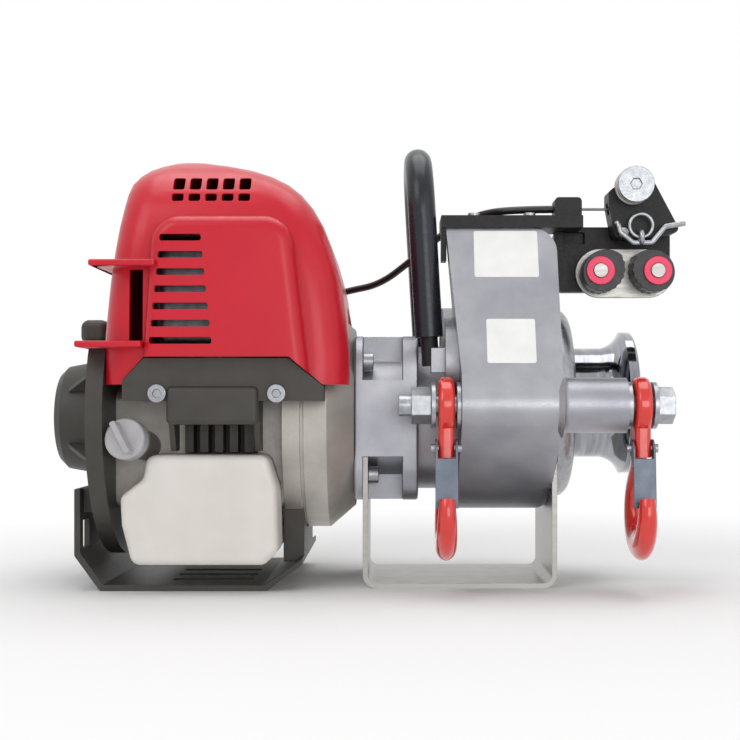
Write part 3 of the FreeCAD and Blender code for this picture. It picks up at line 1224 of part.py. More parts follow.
def make_air_side():
    """Muffler in front; spark plug on top; carburettor, throttle arm and air cleaner behind."""
    can = box(("muffler_width", "muffler_depth", "muffler_height"),
        ("-muffler_left", "-muffler_front", "muffler_low"))
    can = rounded(can, "muffler_edge", all_edges)
    pipe = cylinder("stub_radius", "muffler_front - muffler_depth - barrel_radius + cover_wall", (
        "-cylinder_x", "-muffler_front + muffler_depth - cover_wall", "muffler_low + muffler_height / 2"),
        ALONG_Y)
    tube = cut(pipe, cylinder("fin_radius", "cover_height", ("-cylinder_x", 0, "muffler_low")))
    node(join(can, tube), "muffler")
    nut = hexagon("2 * plug_nut", "plug_nut_height", ("-cylinder_x", 0, "barrel_top"), Rotation())
    cap = cylinder("plug_radius", "plug_length", ("-cylinder_x", 0, "barrel_top"))
    thread = cylinder("plug_radius / 2", "plug_length / 2",
        ("-cylinder_x", 0, "barrel_top - plug_length / 2"))
    node(join(nut, cap, thread), "spark_plug")
    left = "-cylinder_x - carb_width / 2"
    carb = box(("carb_width", "carb_depth", "carb_height"), (left, "cover_back", "carb_low"))
    carb = rounded(carb, "carb_edge", all_edges)
    stub = cut(cylinder("stub_radius", "cover_back + carb_edge", (
        "-cylinder_x", 0, "carb_low + carb_height / 2"), ALONG_Y),
        cylinder("fin_radius", "cover_height", (
            "-cylinder_x", 0, "carb_low - stub_radius")))
    spindle = cylinder("spindle_radius", "spindle_height", (
        "-cylinder_x", "cover_back + carb_depth / 2", "carb_low + carb_height"))
    stop_block = box(("arm_width", "arm_width", "spindle_height + arm_width"), (
        "-cylinder_x + carb_width / 2", "cover_back + carb_depth / 2 - arm_width / 2",
        "carb_low + carb_height - arm_width"))
    cable_hole = cylinder("cable_radius", "arm_width", CABLE_START, ALONG_X)
    node(cut(join(carb, stub, spindle, stop_block), cable_hole), "carburettor")
    base = "carb_low + carb_height + moving_gap"
    hub = cylinder("arm_hub", "arm_thickness", ("-cylinder_x", "cover_back + carb_depth / 2", base))
    arm = box(("arm_width", "arm_reach", "arm_thickness"), (
        "-cylinder_x - arm_width / 2", "cover_back + carb_depth / 2 - arm_reach", base))
    hole = cylinder("spindle_radius + running_gap", "arm_thickness",
        ("-cylinder_x", "cover_back + carb_depth / 2", base))
    node(cut(join(hub, arm), hole), "throttle_arm")
    case = box(("air_width", "air_depth", "air_height"),
        ("-cylinder_x - air_width / 2", "air_front", "air_low"))
    node(rounded(case, "air_edge", all_edges), "air_cleaner")


def make_tank():
    """Fuel tank, its cap, and the guard that wraps under it."""
    points = []
    for across, up in TANK_SHARES:
        points.append((f"-tank_left + {across} * (tank_left - tank_right)",
                       f"tank_low + {up} * (tank_high - tank_low)"))
    front = prism(points, "tank_depth", "XZ", (0, "tank_depth - tank_front", 0))
    front = rounded(front, "tank_round", runs_along(NORTH))
    front = rounded(front, "tank_edge",
                    lambda edge: abs(edge.CenterOfMass.y + number("tank_front")) < number("hole_gap"))
    floor = box(("tank_left - tank_right - 3 * tank_inset", "tank_back + tank_front - tank_depth / 2",
                 "tank_floor_high - tank_low"), (
        "-tank_left + 2 * tank_inset", "-tank_front + tank_depth / 2", "tank_low"))
    floor = rounded(floor, "tank_corner", runs_along(NORTH))
    body = join(front, floor)
    neck = cylinder("fuel_neck_radius", "fuel_neck + tank_corner", (
        "-fuel_neck_x", "fuel_neck_y", "tank_floor_high - tank_corner"))
    node(join(body, neck), "fuel_tank")
    top = "tank_floor_high + fuel_neck"
    cap = cylinder("fuel_cap_radius", "fuel_cap_height",
        ("-fuel_neck_x", "fuel_neck_y", f"{top} + cap_wall - fuel_cap_height"))
    cap = rounded(cap, "cap_wall / 2", lambda edge: edge.CenterOfMass.z > number(top))
    node(cut(cap, cylinder("fuel_neck_radius + running_gap", "fuel_cap_height - cap_wall", (
        "-fuel_neck_x", "fuel_neck_y", f"{top} - fuel_cap_height + cap_wall"))), "fuel_cap")
    wall = "guard_wall"
    depth = "guard_front + guard_back"
    points = (
        ("-guard_left", "guard_leg_top"), ("-guard_left", "guard_leg_low"),
        ("-guard_floor_left", "guard_low"), ("-guard_floor_right", "guard_low"),
        ("-guard_end", "guard_end_low"),
        ("-guard_end", f"guard_end_low + {wall}"),
        (f"-guard_floor_right - {wall} / 2", f"guard_low + {wall}"),
        (f"-guard_floor_left + {wall} / 2", f"guard_low + {wall}"),
        (f"-guard_left + {wall}", f"guard_leg_low + {wall} / 2"),
        (f"-guard_left + {wall}", "guard_leg_top"),
    )
    band = prism(points, depth, "XZ", (0, "guard_back", 0))
    lugs = []
    for y in ("guard_lug_near", "-guard_lug_near - guard_lug_width"):
        lugs.append(box(("guard_left + disc_left", "guard_lug_width", "guard_leg_top - guard_lug_low"), (
            "-guard_left", y, "guard_lug_low")))
    block = box(("guard_block_left - guard_end", "2 * guard_block_half", "block_low - guard_end_low"), (
        "-guard_block_left", "-guard_block_half", "guard_end_low"))
    tools = [cylinder("fan_radius", "fan_length", ("-guard_block_left", 0, "crank_height"), ALONG_X)]
    for step in range(GUARD_SLOTS):
        tools.append(box(("guard_slot_length", "guard_slot", wall), (
            "-guard_slot_left", f"-guard_slot_start + {step} * guard_slot_pitch", "guard_low")))
    for side in SIDES:
        tools.append(box((wall, "guard_window", "guard_window"), (
            "-guard_left", f"{side} * guard_block_half - guard_window / 2",
            "guard_leg_low + guard_wall")))
    node(cut(join(band, block, *lugs), *tools), "tank_guard")


def outward(turn_share):
    """Direction out of the bowl's middle at a share of a turn."""
    turn = math.radians(360 * turn_share)
    return Vector(0, -math.sin(turn), math.cos(turn))


def hook_section(middle, turn_share, depth_share, width_share):
    """Oval section of the hook about a point."""
    deep = outward(turn_share) * number("hook_depth") * depth_share / 2
    wide = EAST * number("hook_width") * width_share / 2
    longer, shorter = (deep, wide) if deep.Length > wide.Length else (wide, deep)
    return Part.Wire(Part.Ellipse(middle + longer, middle + shorter, middle).toShape())


def hook_shape(x):
    """Forged eye hook hanging from the bolt, its mouth towards the front."""
    axis = spot(x, "-bolt_front", "bolt_height")
    width = number("eye_width")
    eye = Part.makeCylinder(number("eye_radius"), width, axis - EAST * width / 2, EAST)
    eye = eye.makeFillet(number("eye_edge"), [edge for edge in eye.Edges if isinstance(edge.Curve,
        Part.Circle)])
    line = number("hook_line")
    fall = number("hook_drop")
    sections = []
    for turn_share, depth_share, width_share, back_share, drop_share in NECK_SHARES:
        middle = axis + NORTH * line * back_share - UP * fall * drop_share
        sections.append(hook_section(middle, turn_share, depth_share, width_share))
    for turn_share, depth_share, width_share in HOOK_SHARES:
        middle = axis - UP * fall + outward(turn_share) * line
        sections.append(hook_section(middle, turn_share, depth_share, width_share))
    bow = Part.makeLoft(sections, True, False)
    drop = number("latch_pin_drop")
    shank = Part.makeBox(width, number("eye_radius") * SHANK_SHARE * 2, drop + number("cheek_radius"))
    shank.translate(axis + Vector(-width / 2, -number("eye_radius") * SHANK_SHARE,
        -drop - number("cheek_radius")))
    shank = shank.makeFillet(number("eye_edge"), [edge for edge in shank.Edges if runs_along(UP)(edge)])
    pin = Part.makeCylinder(number("latch_pin_radius"), 2 * width, latch_spot(x) - EAST * width, EAST)
    hole = Part.makeCylinder(number("bolt_radius + hole_gap"), 2 * width, axis - EAST * width, EAST)
    return eye.fuse([bow, shank]).removeSplitter().cut([hole, pin])


def latch_spot(x):
    """Middle of a latch pin."""
    return spot(x, "-bolt_front - latch_pin_front", "bolt_height - latch_pin_drop")


def latch_shape(x):
    """Folded latch: two cheeks on the pin and a tongue that closes behind the hook's tip."""
    pin = latch_spot(x)
    inner = number("eye_width / 2 + moving_gap")
    thick = number("cheek_thickness")
    radius = number("cheek_radius")
    lift = number("latch_lift")
    tongue_thick = number("latch_thickness")
    whole = 2 * (inner + thick)
    length = number("latch_length")
    tongue = Part.makeBox(whole, tongue_thick, length - number("tongue_start"))
    tongue.translate(Vector(-whole / 2, -lift - tongue_thick, -length))
    parts = []
    for side in SIDES:
        start = inner if side > 0 else -inner - thick
        cheek = Part.makeCylinder(radius, thick, EAST * start, EAST)
        arm = Part.makeBox(thick, lift + tongue_thick, 2 * radius)
        arm.translate(Vector(start, -lift - tongue_thick, -2 * radius))
        parts += [cheek, arm]
    hole = Part.makeCylinder(number("latch_pin_radius + running_gap"), whole, EAST * (-whole / 2), EAST)
    latch = tongue.fuse(parts).removeSplitter().cut(hole)
    latch.Placement = Placement(pin, Rotation(EAST, -number("latch_lean")))
    return latch


def make_hooks():
    """Long bolt through the nose arm with a hook, washers, nut and head at its ends."""
    place = ("-bolt_front", "bolt_height")
    tip = "left_outer_washer - nut_height - bolt_tip"
    head = "right_outer_washer + washer_thickness"
    shank = cylinder("bolt_radius", f"{head} - ({tip})", (tip, *place), ALONG_X)
    node(join(shank, hexagon("nut_flats", "head_height", (head, *place), ALONG_X)), "hook_bolt")
    nut = hexagon("nut_flats", "nut_height", ("left_outer_washer - nut_height", *place), ALONG_X)
    node(cut(nut, cylinder("bolt_radius", "nut_height", ("left_outer_washer - nut_height", *place),
        ALONG_X)), "hook_nut")
    washers = []
    for x in ("left_outer_washer", "left_washer", "arm_length", "right_outer_washer"):
        disc = cylinder("washer_radius", "washer_thickness", (x, *place), ALONG_X)
        washers.append(cut(disc, cylinder("bolt_radius", "washer_thickness", (x, *place), ALONG_X)))
    node(gather(*washers), "hook_washers")
    for side in ("left", "right"):
        x = f"{side}_hook"
        node(solid(hook_shape(x)), f"hook_{side}")
        node(solid(latch_shape(x)), f"latch_{side}")
        node(cylinder("latch_pin_radius", "latch_pin_length", (
            f"{x} - latch_pin_length / 2", "-bolt_front - latch_pin_front",
            "bolt_height - latch_pin_drop"), ALONG_X),
            f"latch_pin_{side}")


def handle_points(low):
    """Corners of the handle's route above a height."""
    share = number(f"({low} - handle_low) / (handle_top - handle_low)")
    corners = []
    for y in ("-handle_front", "handle_back"):
        foot = spot("-handle_x", y, "handle_low")
        top = spot("-handle_x - handle_lean", y, "handle_top")
        corners.append((foot + (top - foot) * share, top))
    (front, front_top), (back, back_top) = corners
    return [front, front_top, back_top, back]


def handle_route(low="handle_low"):
    """Middle line of the handle above a height."""
    bend = number("handle_bend")
    return bent_route(handle_points(low), (bend, bend))


def make_handle():
    """Steel bar bent to a carrying loop, with a sleeve over its top."""
    node(solid(rod(handle_route(), number("bar_radius"))), "handle_bar")
    route = handle_route("sleeve_low")
    sleeve = rod(route, number("sleeve_radius"))
    node(solid(sleeve.cut(rod(route, number("bar_radius")))), "handle_grip")


def make_rope_bracket():
    """Black bracket: a saddle on the wing's top edge, a cable tab and a plate behind the rope lock."""
    crest = "wing_crest"
    top = "wing_top"
    saddle = box(("saddle_left + saddle_right", "saddle_front - saddle_back", "saddle_height"), (
        "-saddle_left", "-saddle_front", top))
    leg = box(("saddle_left - wing_left", "wing_thickness", f"{top} - saddle_leg_low + saddle_height"), (
        "-saddle_left", crest, "saddle_leg_low"))
    rib = box(("bracket_rib", f"-saddle_back - {crest} - wing_thickness",
        f"{top} - saddle_leg_low + saddle_height"), (
        0, f"{crest} + wing_thickness", "saddle_leg_low"))
    plate = box(("plate_right - plate_left", "plate_front - saddle_back", "plate_high - plate_low"), (
        "plate_left", "-plate_front", "plate_low"))
    plate = rounded(plate, "plate_edge", runs_along(NORTH))
    tab = box(("tab_right - tab_left", "tab_front - tab_back", f"tab_top - {top}"),
        ("tab_left", "-tab_front", top))
    tab = rounded(tab, "lever_edge", runs_along(NORTH))
    half = "cam_spacing / 2"
    tools = [
        cylinder("cam_pin_radius", "plate_front - saddle_back",
            (f"lock_x - {half}", "-plate_front", "lock_height"), ALONG_Y),
        cylinder("cam_pin_radius", "plate_front - saddle_back",
            (f"lock_x + {half}", "-plate_front", "lock_height"), ALONG_Y),
        cylinder("pivot_radius", "plate_front - saddle_back", ("pivot_x", "-plate_front", "pivot_height"),
            ALONG_Y),
        cylinder("cable_radius", "(tab_right - tab_left) / 2", ("tab_left", "-wire_depth", "wire_height"),
            ALONG_X),
        cylinder("wire_bore", "tab_right - tab_left", ("tab_left", "-wire_depth", "wire_height"),
            ALONG_X),
        box(("pocket_length", "pocket_depth", "pocket_height"),
            ("pocket_left", "-plate_front", "pocket_low")),
    ]
    for x in ("bracket_screw_left", "bracket_screw_right"):
        tools.append(cylinder("small_screw_radius", "saddle_height",
            (x, f"{crest} + wing_thickness / 2", top)))
        place = spot(x, f"{crest} + wing_thickness / 2", f"{top} + saddle_height")
        length = number("saddle_height + small_screw_length")
        SMALL_SCREWS.append(screw_shape(number("small_screw_radius"), length, number("small_head_radius"),
                                        number("small_head_height / 2"), place, UP))
    node(cut(join(saddle, leg, rib, plate, tab), *tools), "rope_bracket")


def cam_outline(side):
    """Toothed cam outline about its pivot; the toothed side faces the other cam."""
    low, high = number("cam_radius"), number("cam_reach")
    arc = number("cam_arc")
    teeth = int(number("cam_teeth"))
    corners = []
    for step in range(2 * teeth + 1):
        share = step / (2 * teeth)
        radius = low + (high - low) * share - (number("cam_tooth") if step % 2 else 0)
        angle = math.radians(-arc / 2 - CAM_TILT + arc * share)
        corners.append(Vector(-side * radius * math.cos(angle), 0, radius * math.sin(angle)))
    for step in range(1, CAM_BACK_STEPS):
        share = step / CAM_BACK_STEPS
        radius = high + (low - high) * share - number("cam_hollow") * math.sin(math.pi * share)
        angle = math.radians(arc / 2 - CAM_TILT + (360 - arc) * share)
        corners.append(Vector(-side * radius * math.cos(angle), 0, radius * math.sin(angle)))
    corners.append(corners[0])
    return Part.Face(Part.makePolygon(corners))


def make_rope_lock():
    """Stainless plate with two toothed cams on pins, each under a coloured ring."""
    half = "cam_spacing / 2"
    radius = "cam_plate_height / 2"
    run = "cam_plate_length / 2 - cam_plate_height / 2"
    points = (
        (f"lock_x + {run}", f"lock_height - {radius}"),
        ("lock_x + cam_plate_length / 2", "lock_height", radius, 1),
        (f"lock_x + {run}", f"lock_height + {radius}", radius, 1),
        (f"lock_x - ({run})", f"lock_height + {radius}"),
        ("lock_x - cam_plate_length / 2", "lock_height", radius, 1),
        (f"lock_x - ({run})", f"lock_height - {radius}", radius, 1),
    )
    plate = prism(points, "cam_plate_thickness", "XZ", (0, "-plate_front", 0))
    tools = []
    rings = []
    reach = "cam_depth + moving_gap + cam_plate_thickness"
    for side, label in zip(SIDES, ("left", "right")):
        x = f"lock_x + {side} * {half}"
        tools.append(cylinder("cam_pin_radius", "cam_plate_thickness",
            (x, "-plate_front - cam_plate_thickness", "lock_height"),
                              ALONG_Y))
        PIVOT_PINS.append(cylinder("cam_pin_radius",
            f"{reach} + cam_pin_over + plate_front - saddle_back", (
            x, "cam_front - cam_pin_over", "lock_height"), ALONG_Y))
        ring = cylinder("cam_ring_radius", "cam_ring_height",
            (x, "cam_front - moving_gap - cam_ring_height", "lock_height"),
                        ALONG_Y)
        rings.append(cut(ring, cylinder("cam_pin_radius", "cam_ring_height", (
            x, "cam_front - moving_gap - cam_ring_height", "lock_height"), ALONG_Y)))
        cam = cam_outline(side).extrude(NORTH * number("cam_depth"))
        cam = cam.cut(Part.makeCylinder(number("cam_pin_radius + running_gap"), number("cam_depth"),
            Vector(), NORTH))
        cam.Placement = Placement(spot(x, "cam_front", "lock_height"), Rotation())
        node(solid(cam), f"cam_{label}")
    node(cut(plate, *tools), "cam_plate")
    node(gather(*rings), "cam_rings")


def make_lever():
    """Throttle lever on its pivot, with a grooved roller, its bolt, the wire keeper and the pull ring."""
    points = (
        ("lever_left", "pivot_height + lever_waist"),
        ("pivot_x - lever_toe", "pivot_height - lever_foot"),
        ("lock_x + lever_heel", "pivot_height - lever_foot"), ("lock_x + lever_tail", "pivot_height"),
        ("lock_x + lever_tip", "pivot_height + lever_edge"),
        ("roller_x + lever_shoulder", "roller_height + lever_edge"),
        ("roller_x", "roller_height + lever_crown"),
        ("lever_left", "roller_height - lever_edge"),
    )
    depth = "lever_front - plate_front - moving_gap"
    plate = prism(points, depth, "XZ", (0, "-plate_front - moving_gap", 0))
    plate = rounded(plate, "lever_edge", runs_along(NORTH))
    slot = box(("wire_slot_end - lever_left", "2 * wire_slot", "2 * wire_slot"), (
        "lever_left", "-wire_depth - wire_slot", "wire_height - wire_slot"))
    tools = [
        slot,
        cylinder("pivot_radius + running_gap", depth, ("pivot_x", "-lever_front", "pivot_height"),
            ALONG_Y),
        cylinder("roller_bolt_radius", depth, ("roller_x", "-lever_front", "roller_height"), ALONG_Y),
        cylinder("keeper_radius", "2 * keeper_radius",
            ("lever_left + 3 * keeper_radius", "-lever_front", KEEPER_HEIGHT), ALONG_Y),
    ]
    node(cut(plate, *tools), "throttle_lever")
    PIVOT_PINS.append(cylinder("pivot_radius", f"{depth} + moving_gap + plate_front - saddle_back", (
        "pivot_x", "-lever_front", "pivot_height"), ALONG_Y))
    waist = "roller_waist"
    node(turned((
        (0, "roller_bolt_radius + running_gap"), (0, "roller_radius"),
        ("roller_width / 5", "roller_radius"),
        ("roller_width * 2 / 5", waist), ("roller_width * 3 / 5", waist),
        ("roller_width * 4 / 5", "roller_radius"),
        ("roller_width", "roller_radius"), ("roller_width", "roller_bolt_radius + running_gap"),
    ), ("roller_x", "roller_back", "roller_height"), Rotation(EAST, -NORTH)), "guide_roller")
    place = spot("roller_x", "roller_back - roller_width - moving_gap", "roller_height")
    shank = number(f"roller_width + 2 * moving_gap + {depth}")
    node(solid(screw_shape(number("roller_bolt_radius"), shank, number("roller_head_radius"),
                           number("roller_head_height"), place, -NORTH, WIDE_SOCKET_SHARE)),
                           "roller_bolt")
    front = "-keeper_front"
    foot = "lever_left + 3 * keeper_radius"
    radius = number("keeper_radius")
    route = [spot(foot, "-lever_front + keeper_radius", KEEPER_HEIGHT), spot(foot, front, KEEPER_HEIGHT)]
    middle = spot("eye_x", front, "eye_height")
    for across, up in KEEPER_SHARES:
        route.append(middle + Vector(across, 0, up) * radius)
    across, up = KEEPER_END_SHARES
    route.append(spot(f"eye_x + {across} * keeper_radius", "-lever_front - keeper_radius",
                      f"eye_height + {up} * keeper_radius"))
    wire = rod(bent_route(route, [2 * radius] * len(route)), radius)
    eye = Part.makeTorus(number("eye_mean"), radius, spot("eye_x", front, "eye_height"), EAST)
    node(solid(wire.fuse(eye)), "rope_keeper")
    node(torus("pull_ring_mean", "pull_ring_wire", ("eye_x", front, "eye_height + pull_ring_mean"),
        ALONG_Y), "pull_ring")


def make_throttle_run():
    """Outer cable from the carburettor to the bracket's tab, and the bare wire to the lever."""
    start = spot(*CABLE_START)
    end = spot("tab_left + (tab_right - tab_left) / 2", "-wire_depth", "wire_height")
    points = [start]
    for x_share, y_share, z_share in CABLE_SHARES:
        points.append(Vector(start.x + (end.x - start.x) * x_share, start.y + (end.y - start.y) * y_share,
                             start.z + (end.z - start.z) * z_share))
    points.append(end)
    bends = []
    for before, corner, after in zip(points, points[1:], points[2:]):
        half = (corner - before).getAngle(after - corner) / 2
        shorter = min((corner - before).Length, (after - corner).Length)
        bends.append(BEND_SHARE * shorter / math.tan(half))
    print("cable bends", [round(bend, 1) for bend in bends])
    route = bent_route(points, bends)
    print("cable length", round(route.Length, 1))
    node(solid(rod(route, number("cable_radius"))), "throttle_cable")
    inner = "(tab_left + tab_right) / 2 + wire_clear"
    bare = cylinder("wire_radius", f"wire_end - ({inner})", (inner, "-wire_depth", "wire_height"),
        ALONG_X)
    nipple = cylinder("nipple_radius", "nipple_length", ("wire_end", "-wire_depth", "wire_height"),
        ALONG_X)
    node(join(bare, nipple), "throttle_wire")


def make_fastener_groups():
    """Screws of one size and the plain pins, each kind as one group of separate solids."""
    node(solid(Part.makeCompound(LARGE_SCREWS)), "large_screws")
    node(solid(Part.makeCompound(SMALL_SCREWS)), "small_screws")
    node(gather(*PIVOT_PINS), "pivot_pins")


make_strap()
make_clutch_housing()
make_gear_cover()
make_gear_housing()
make_gears()
make_drum()
make_clutch()
make_engine()
make_oil_cap()
make_starter()
make_top_cover()
make_under_cover()
make_air_side()
make_tank()
make_hooks()
make_handle()
make_rope_bracket()
make_rope_lock()
make_lever()
make_throttle_run()
make_fastener_groups()
document.recompute()

faults = []
for thing in document.Objects:
    if {"Invalid", "Error"} & set(thing.State):
        faults.append(f"{thing.Label}: {thing.State}")
for thing in NODES:
    if thing.Shape.isNull() or not thing.Shape.isValid():
        faults.append(f"{thing.Label}: bad shape")
if faults:
    raise RuntimeError("; ".join(faults))

os.makedirs("parts", exist_ok=True)
for thing in NODES:
    thing.Shape.exportStep(f"parts/{thing.Label}.step")
print("nodes", len(NODES))
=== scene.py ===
"""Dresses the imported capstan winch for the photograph's view. Lengths are metres."""
import bmesh
import bpy
import json
import math
from mathutils import Matrix, Vector

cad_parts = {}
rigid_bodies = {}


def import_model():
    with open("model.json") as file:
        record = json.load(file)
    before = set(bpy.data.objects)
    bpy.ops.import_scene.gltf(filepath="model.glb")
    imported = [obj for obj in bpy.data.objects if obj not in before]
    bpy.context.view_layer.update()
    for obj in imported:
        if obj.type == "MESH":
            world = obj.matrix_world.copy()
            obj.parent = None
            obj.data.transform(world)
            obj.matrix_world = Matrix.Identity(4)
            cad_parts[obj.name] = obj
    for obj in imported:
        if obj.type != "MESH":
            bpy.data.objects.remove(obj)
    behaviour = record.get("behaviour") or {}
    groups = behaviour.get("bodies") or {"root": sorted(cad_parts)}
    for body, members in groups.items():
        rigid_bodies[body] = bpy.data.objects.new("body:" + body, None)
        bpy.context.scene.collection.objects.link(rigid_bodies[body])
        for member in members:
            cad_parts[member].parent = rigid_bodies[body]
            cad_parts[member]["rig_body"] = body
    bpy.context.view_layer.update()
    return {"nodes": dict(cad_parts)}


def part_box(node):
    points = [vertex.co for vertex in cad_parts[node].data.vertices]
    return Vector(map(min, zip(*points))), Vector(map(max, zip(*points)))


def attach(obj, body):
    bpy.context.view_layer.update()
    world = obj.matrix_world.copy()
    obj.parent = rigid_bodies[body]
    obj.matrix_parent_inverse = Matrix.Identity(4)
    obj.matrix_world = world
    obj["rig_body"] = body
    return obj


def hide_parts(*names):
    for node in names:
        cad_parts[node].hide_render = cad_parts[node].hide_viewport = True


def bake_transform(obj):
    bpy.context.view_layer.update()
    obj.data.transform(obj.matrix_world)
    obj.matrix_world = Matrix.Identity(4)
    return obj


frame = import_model()
NODES = frame["nodes"]
MM = 0.001
# Noise textures stay mostly between these values.
NOISE_LOW, NOISE_HIGH = 0.3, 0.7
MOTTLE_DETAIL = 4.0
GRAIN_DETAIL = 3.0
BUMP_STRENGTH = 0.3
WHITE = "#FFFFFF"


def hex_colour(text):
    """Linear colour from an sRGB hex value."""
    channels = [int(text[start:start + 2], 16) / 255 for start in (1, 3, 5)]
    linear = [value / 12.92 if value <= 0.04045 else ((value + 0.055) / 1.055) ** 2.4 for value in channels]
    return (*linear, 1.0)


def add_node(tree, kind, settings=None, **links):
    """One shader node with its settings, values and links; in a name _ stands for a space, i3 for input 3."""
    node = tree.nodes.new(kind)
    for field, value in (settings or {}).items():
        setattr(node, field, value)
    for name, value in links.items():
        by_number = name[0] == "i" and name[1:].isdigit()
        socket = node.inputs[int(name[1:]) if by_number else name.replace("_", " ")]
        if isinstance(value, bpy.types.NodeSocket):
            tree.links.new(value, socket)
        else:
            socket.default_value = value
    return node


def per_mm(size):
    """Texture scale that gives one feature in this many millimetres."""
    return 1 / (size * MM)


def blank_material(name):
    """A material with an empty Principled shader, its tree and its object coordinates."""
    material = bpy.data.materials.new(name)
    material.use_nodes = True
    tree = material.node_tree
    tree.nodes.clear()
    shader = add_node(tree, "ShaderNodeBsdfPrincipled")
    add_node(tree, "ShaderNodeOutputMaterial", Surface=shader.outputs["BSDF"])
    place = add_node(tree, "ShaderNodeTexCoord").outputs["Object"]
    return material, tree, shader, place


def two_tone(tree, factor, first, second):
    """Colour that runs between two hex colours with a factor; 6, 7 and output 2 are the node's colour sockets."""
    mix = add_node(tree, "ShaderNodeMix", {"data_type": "RGBA"}, Factor=factor, i6=hex_colour(first),
                   i7=hex_colour(second))
    return mix.outputs[2]


def spread(tree, factor, low, high):
    """Values from low to high over the usual span of a noise texture."""
    return add_node(tree, "ShaderNodeMapRange", None, Value=factor, From_Min=NOISE_LOW, From_Max=NOISE_HIGH,
                    To_Min=low, To_Max=high).outputs["Result"]


def finish_surface(name, colours, patch, rough, grain, depth, metallic=0.0, coat=0.0, coat_rough=0.1, gloss=0.5,
                   stretch=(1, 1, 1)):
    """Two mottled tones, uneven roughness and a fine grain; patch, grain and depth are in millimetres."""
    material, tree, shader, place = blank_material(name)
    turned = add_node(tree, "ShaderNodeMapping", None, Vector=place, Scale=stretch).outputs["Vector"]
    mottle = add_node(tree, "ShaderNodeTexNoise", None, Vector=turned, Scale=per_mm(patch),
                      Detail=MOTTLE_DETAIL).outputs["Fac"]
    fine = add_node(tree, "ShaderNodeTexNoise", None, Vector=turned, Scale=per_mm(grain),
                    Detail=GRAIN_DETAIL).outputs["Fac"]
    bump = add_node(tree, "ShaderNodeBump", None, Height=fine, Distance=depth * MM, Strength=BUMP_STRENGTH)
    tree.links.new(two_tone(tree, spread(tree, mottle, 0, 1), *colours), shader.inputs["Base Color"])
    tree.links.new(spread(tree, fine, *rough), shader.inputs["Roughness"])
    tree.links.new(bump.outputs["Normal"], shader.inputs["Normal"])
    shader.inputs["Metallic"].default_value = metallic
    shader.inputs["Specular IOR Level"].default_value = gloss
    shader.inputs["Coat Weight"].default_value = coat
    shader.inputs["Coat Roughness"].default_value = coat_rough
    return material


# In every finish here the grain is drawn coarser than the real one, so that it shows.
# Bead-blasted gravity-cast aluminium: a soft, slightly cloudy grey sheen with a fine pebbled skin.
cast_alloy = finish_surface("cast_aluminium_blasted", ("#A4A4A9", "#8F9097"), 26, (0.36, 0.5), 1.0, 0.1,
                            metallic=0.88)
# Raw die-cast engine alloy: paler, warmer and rougher, a little oily.
engine_alloy = finish_surface("die_cast_engine_alloy", ("#B4B0AA", "#A5A19B"), 16, (0.42, 0.58), 1.2, 0.16,
                              metallic=0.75)
# Brushed stainless strip: long fine scratches along its length.
stainless = finish_surface("brushed_stainless_strip", ("#A09E9A", "#959390"), 5, (0.3, 0.46), 0.7, 0.05,
                           metallic=0.95, stretch=(0.08, 1, 1))
# Bright zinc on steel fasteners: pale, bluish and slightly streaked.
zinc = finish_surface("bright_zinc_steel", ("#A9ABAE", "#8E9095"), 4, (0.26, 0.42), 0.6, 0.04, metallic=0.95)
# Dark machined steel inside the housings.
machined = finish_surface("machined_steel", ("#77787B", "#5F6063"), 5, (0.3, 0.45), 0.5, 0.03, metallic=0.95)
# Polished hard-chromed drum: mirror bright with faint rope marks round it.
drum_chrome = finish_surface("polished_chrome_drum", ("#A5A7AC", "#80828A"), 9, (0.06, 0.16), 0.8, 0.02,
                             metallic=1.0, stretch=(3, 0.3, 0.3))
# Red ABS hood: semi-gloss from a polished mould, with slight flow waves.
red_abs = finish_surface("gloss_red_abs", ("#C5172B", "#BB1327"), 60, (0.3, 0.38), 9, 0.05, coat=0.14,
                         coat_rough=0.2, gloss=0.3)
# Black glass-filled nylon: fine spark-eroded grain that greys in the light.
black_nylon = finish_surface("grained_black_nylon", ("#413E3A", "#3B3835"), 14, (0.4, 0.56), 0.8, 0.14,
                             gloss=0.35)
# Black powder coat on bracket, lever and handle: satin with a faint orange peel.
powder_black = finish_surface("satin_black_powder_coat", ("#1F1E1F", "#181719"), 12, (0.4, 0.52), 1.6, 0.08,
                              gloss=0.25)
# Red enamel on forged hooks: glossy over a slightly uneven forging.
red_enamel = finish_surface("gloss_red_enamel", ("#D8281B", "#C92116"), 10, (0.16, 0.26), 5, 0.18, coat=0.5,
                            coat_rough=0.06)
# Blued spring steel latch: slate blue with a dull rolled sheen.
latch_steel = finish_surface("blued_spring_steel", ("#646A75", "#555B66"), 9, (0.34, 0.46), 0.6, 0.04,
                             metallic=0.7)
# Black vinyl sleeve: smooth, with a soft wide shine.
vinyl = finish_surface("smooth_black_vinyl", ("#1C1F28", "#161920"), 20, (0.24, 0.34), 3, 0.05, coat=0.05,
                       gloss=0.35)
# Grey moulded acetal oil cap: even, with a slight waxy shine.
grey_acetal = finish_surface("moulded_grey_acetal", ("#B2B1B4", "#A5A4A8"), 9, (0.34, 0.46), 0.9, 0.06)
# Black anodised cams: dark, with a dull metal sheen.
anodised = finish_surface("black_anodised_aluminium", ("#363637", "#2A2A2C"), 3, (0.34, 0.48), 0.6, 0.05,
                          metallic=0.5)
# Pink moulded acetal rings: bright and evenly coloured.
pink_acetal = finish_surface("moulded_pink_acetal", ("#E6285A", "#DB2150"), 6, (0.3, 0.4), 0.9, 0.04)
# Extruded PVC sheath of the throttle cable: smooth and half matt.
cable_pvc = finish_surface("extruded_black_pvc", ("#1E1C1D", "#171617"), 6, (0.34, 0.44), 0.8, 0.03)
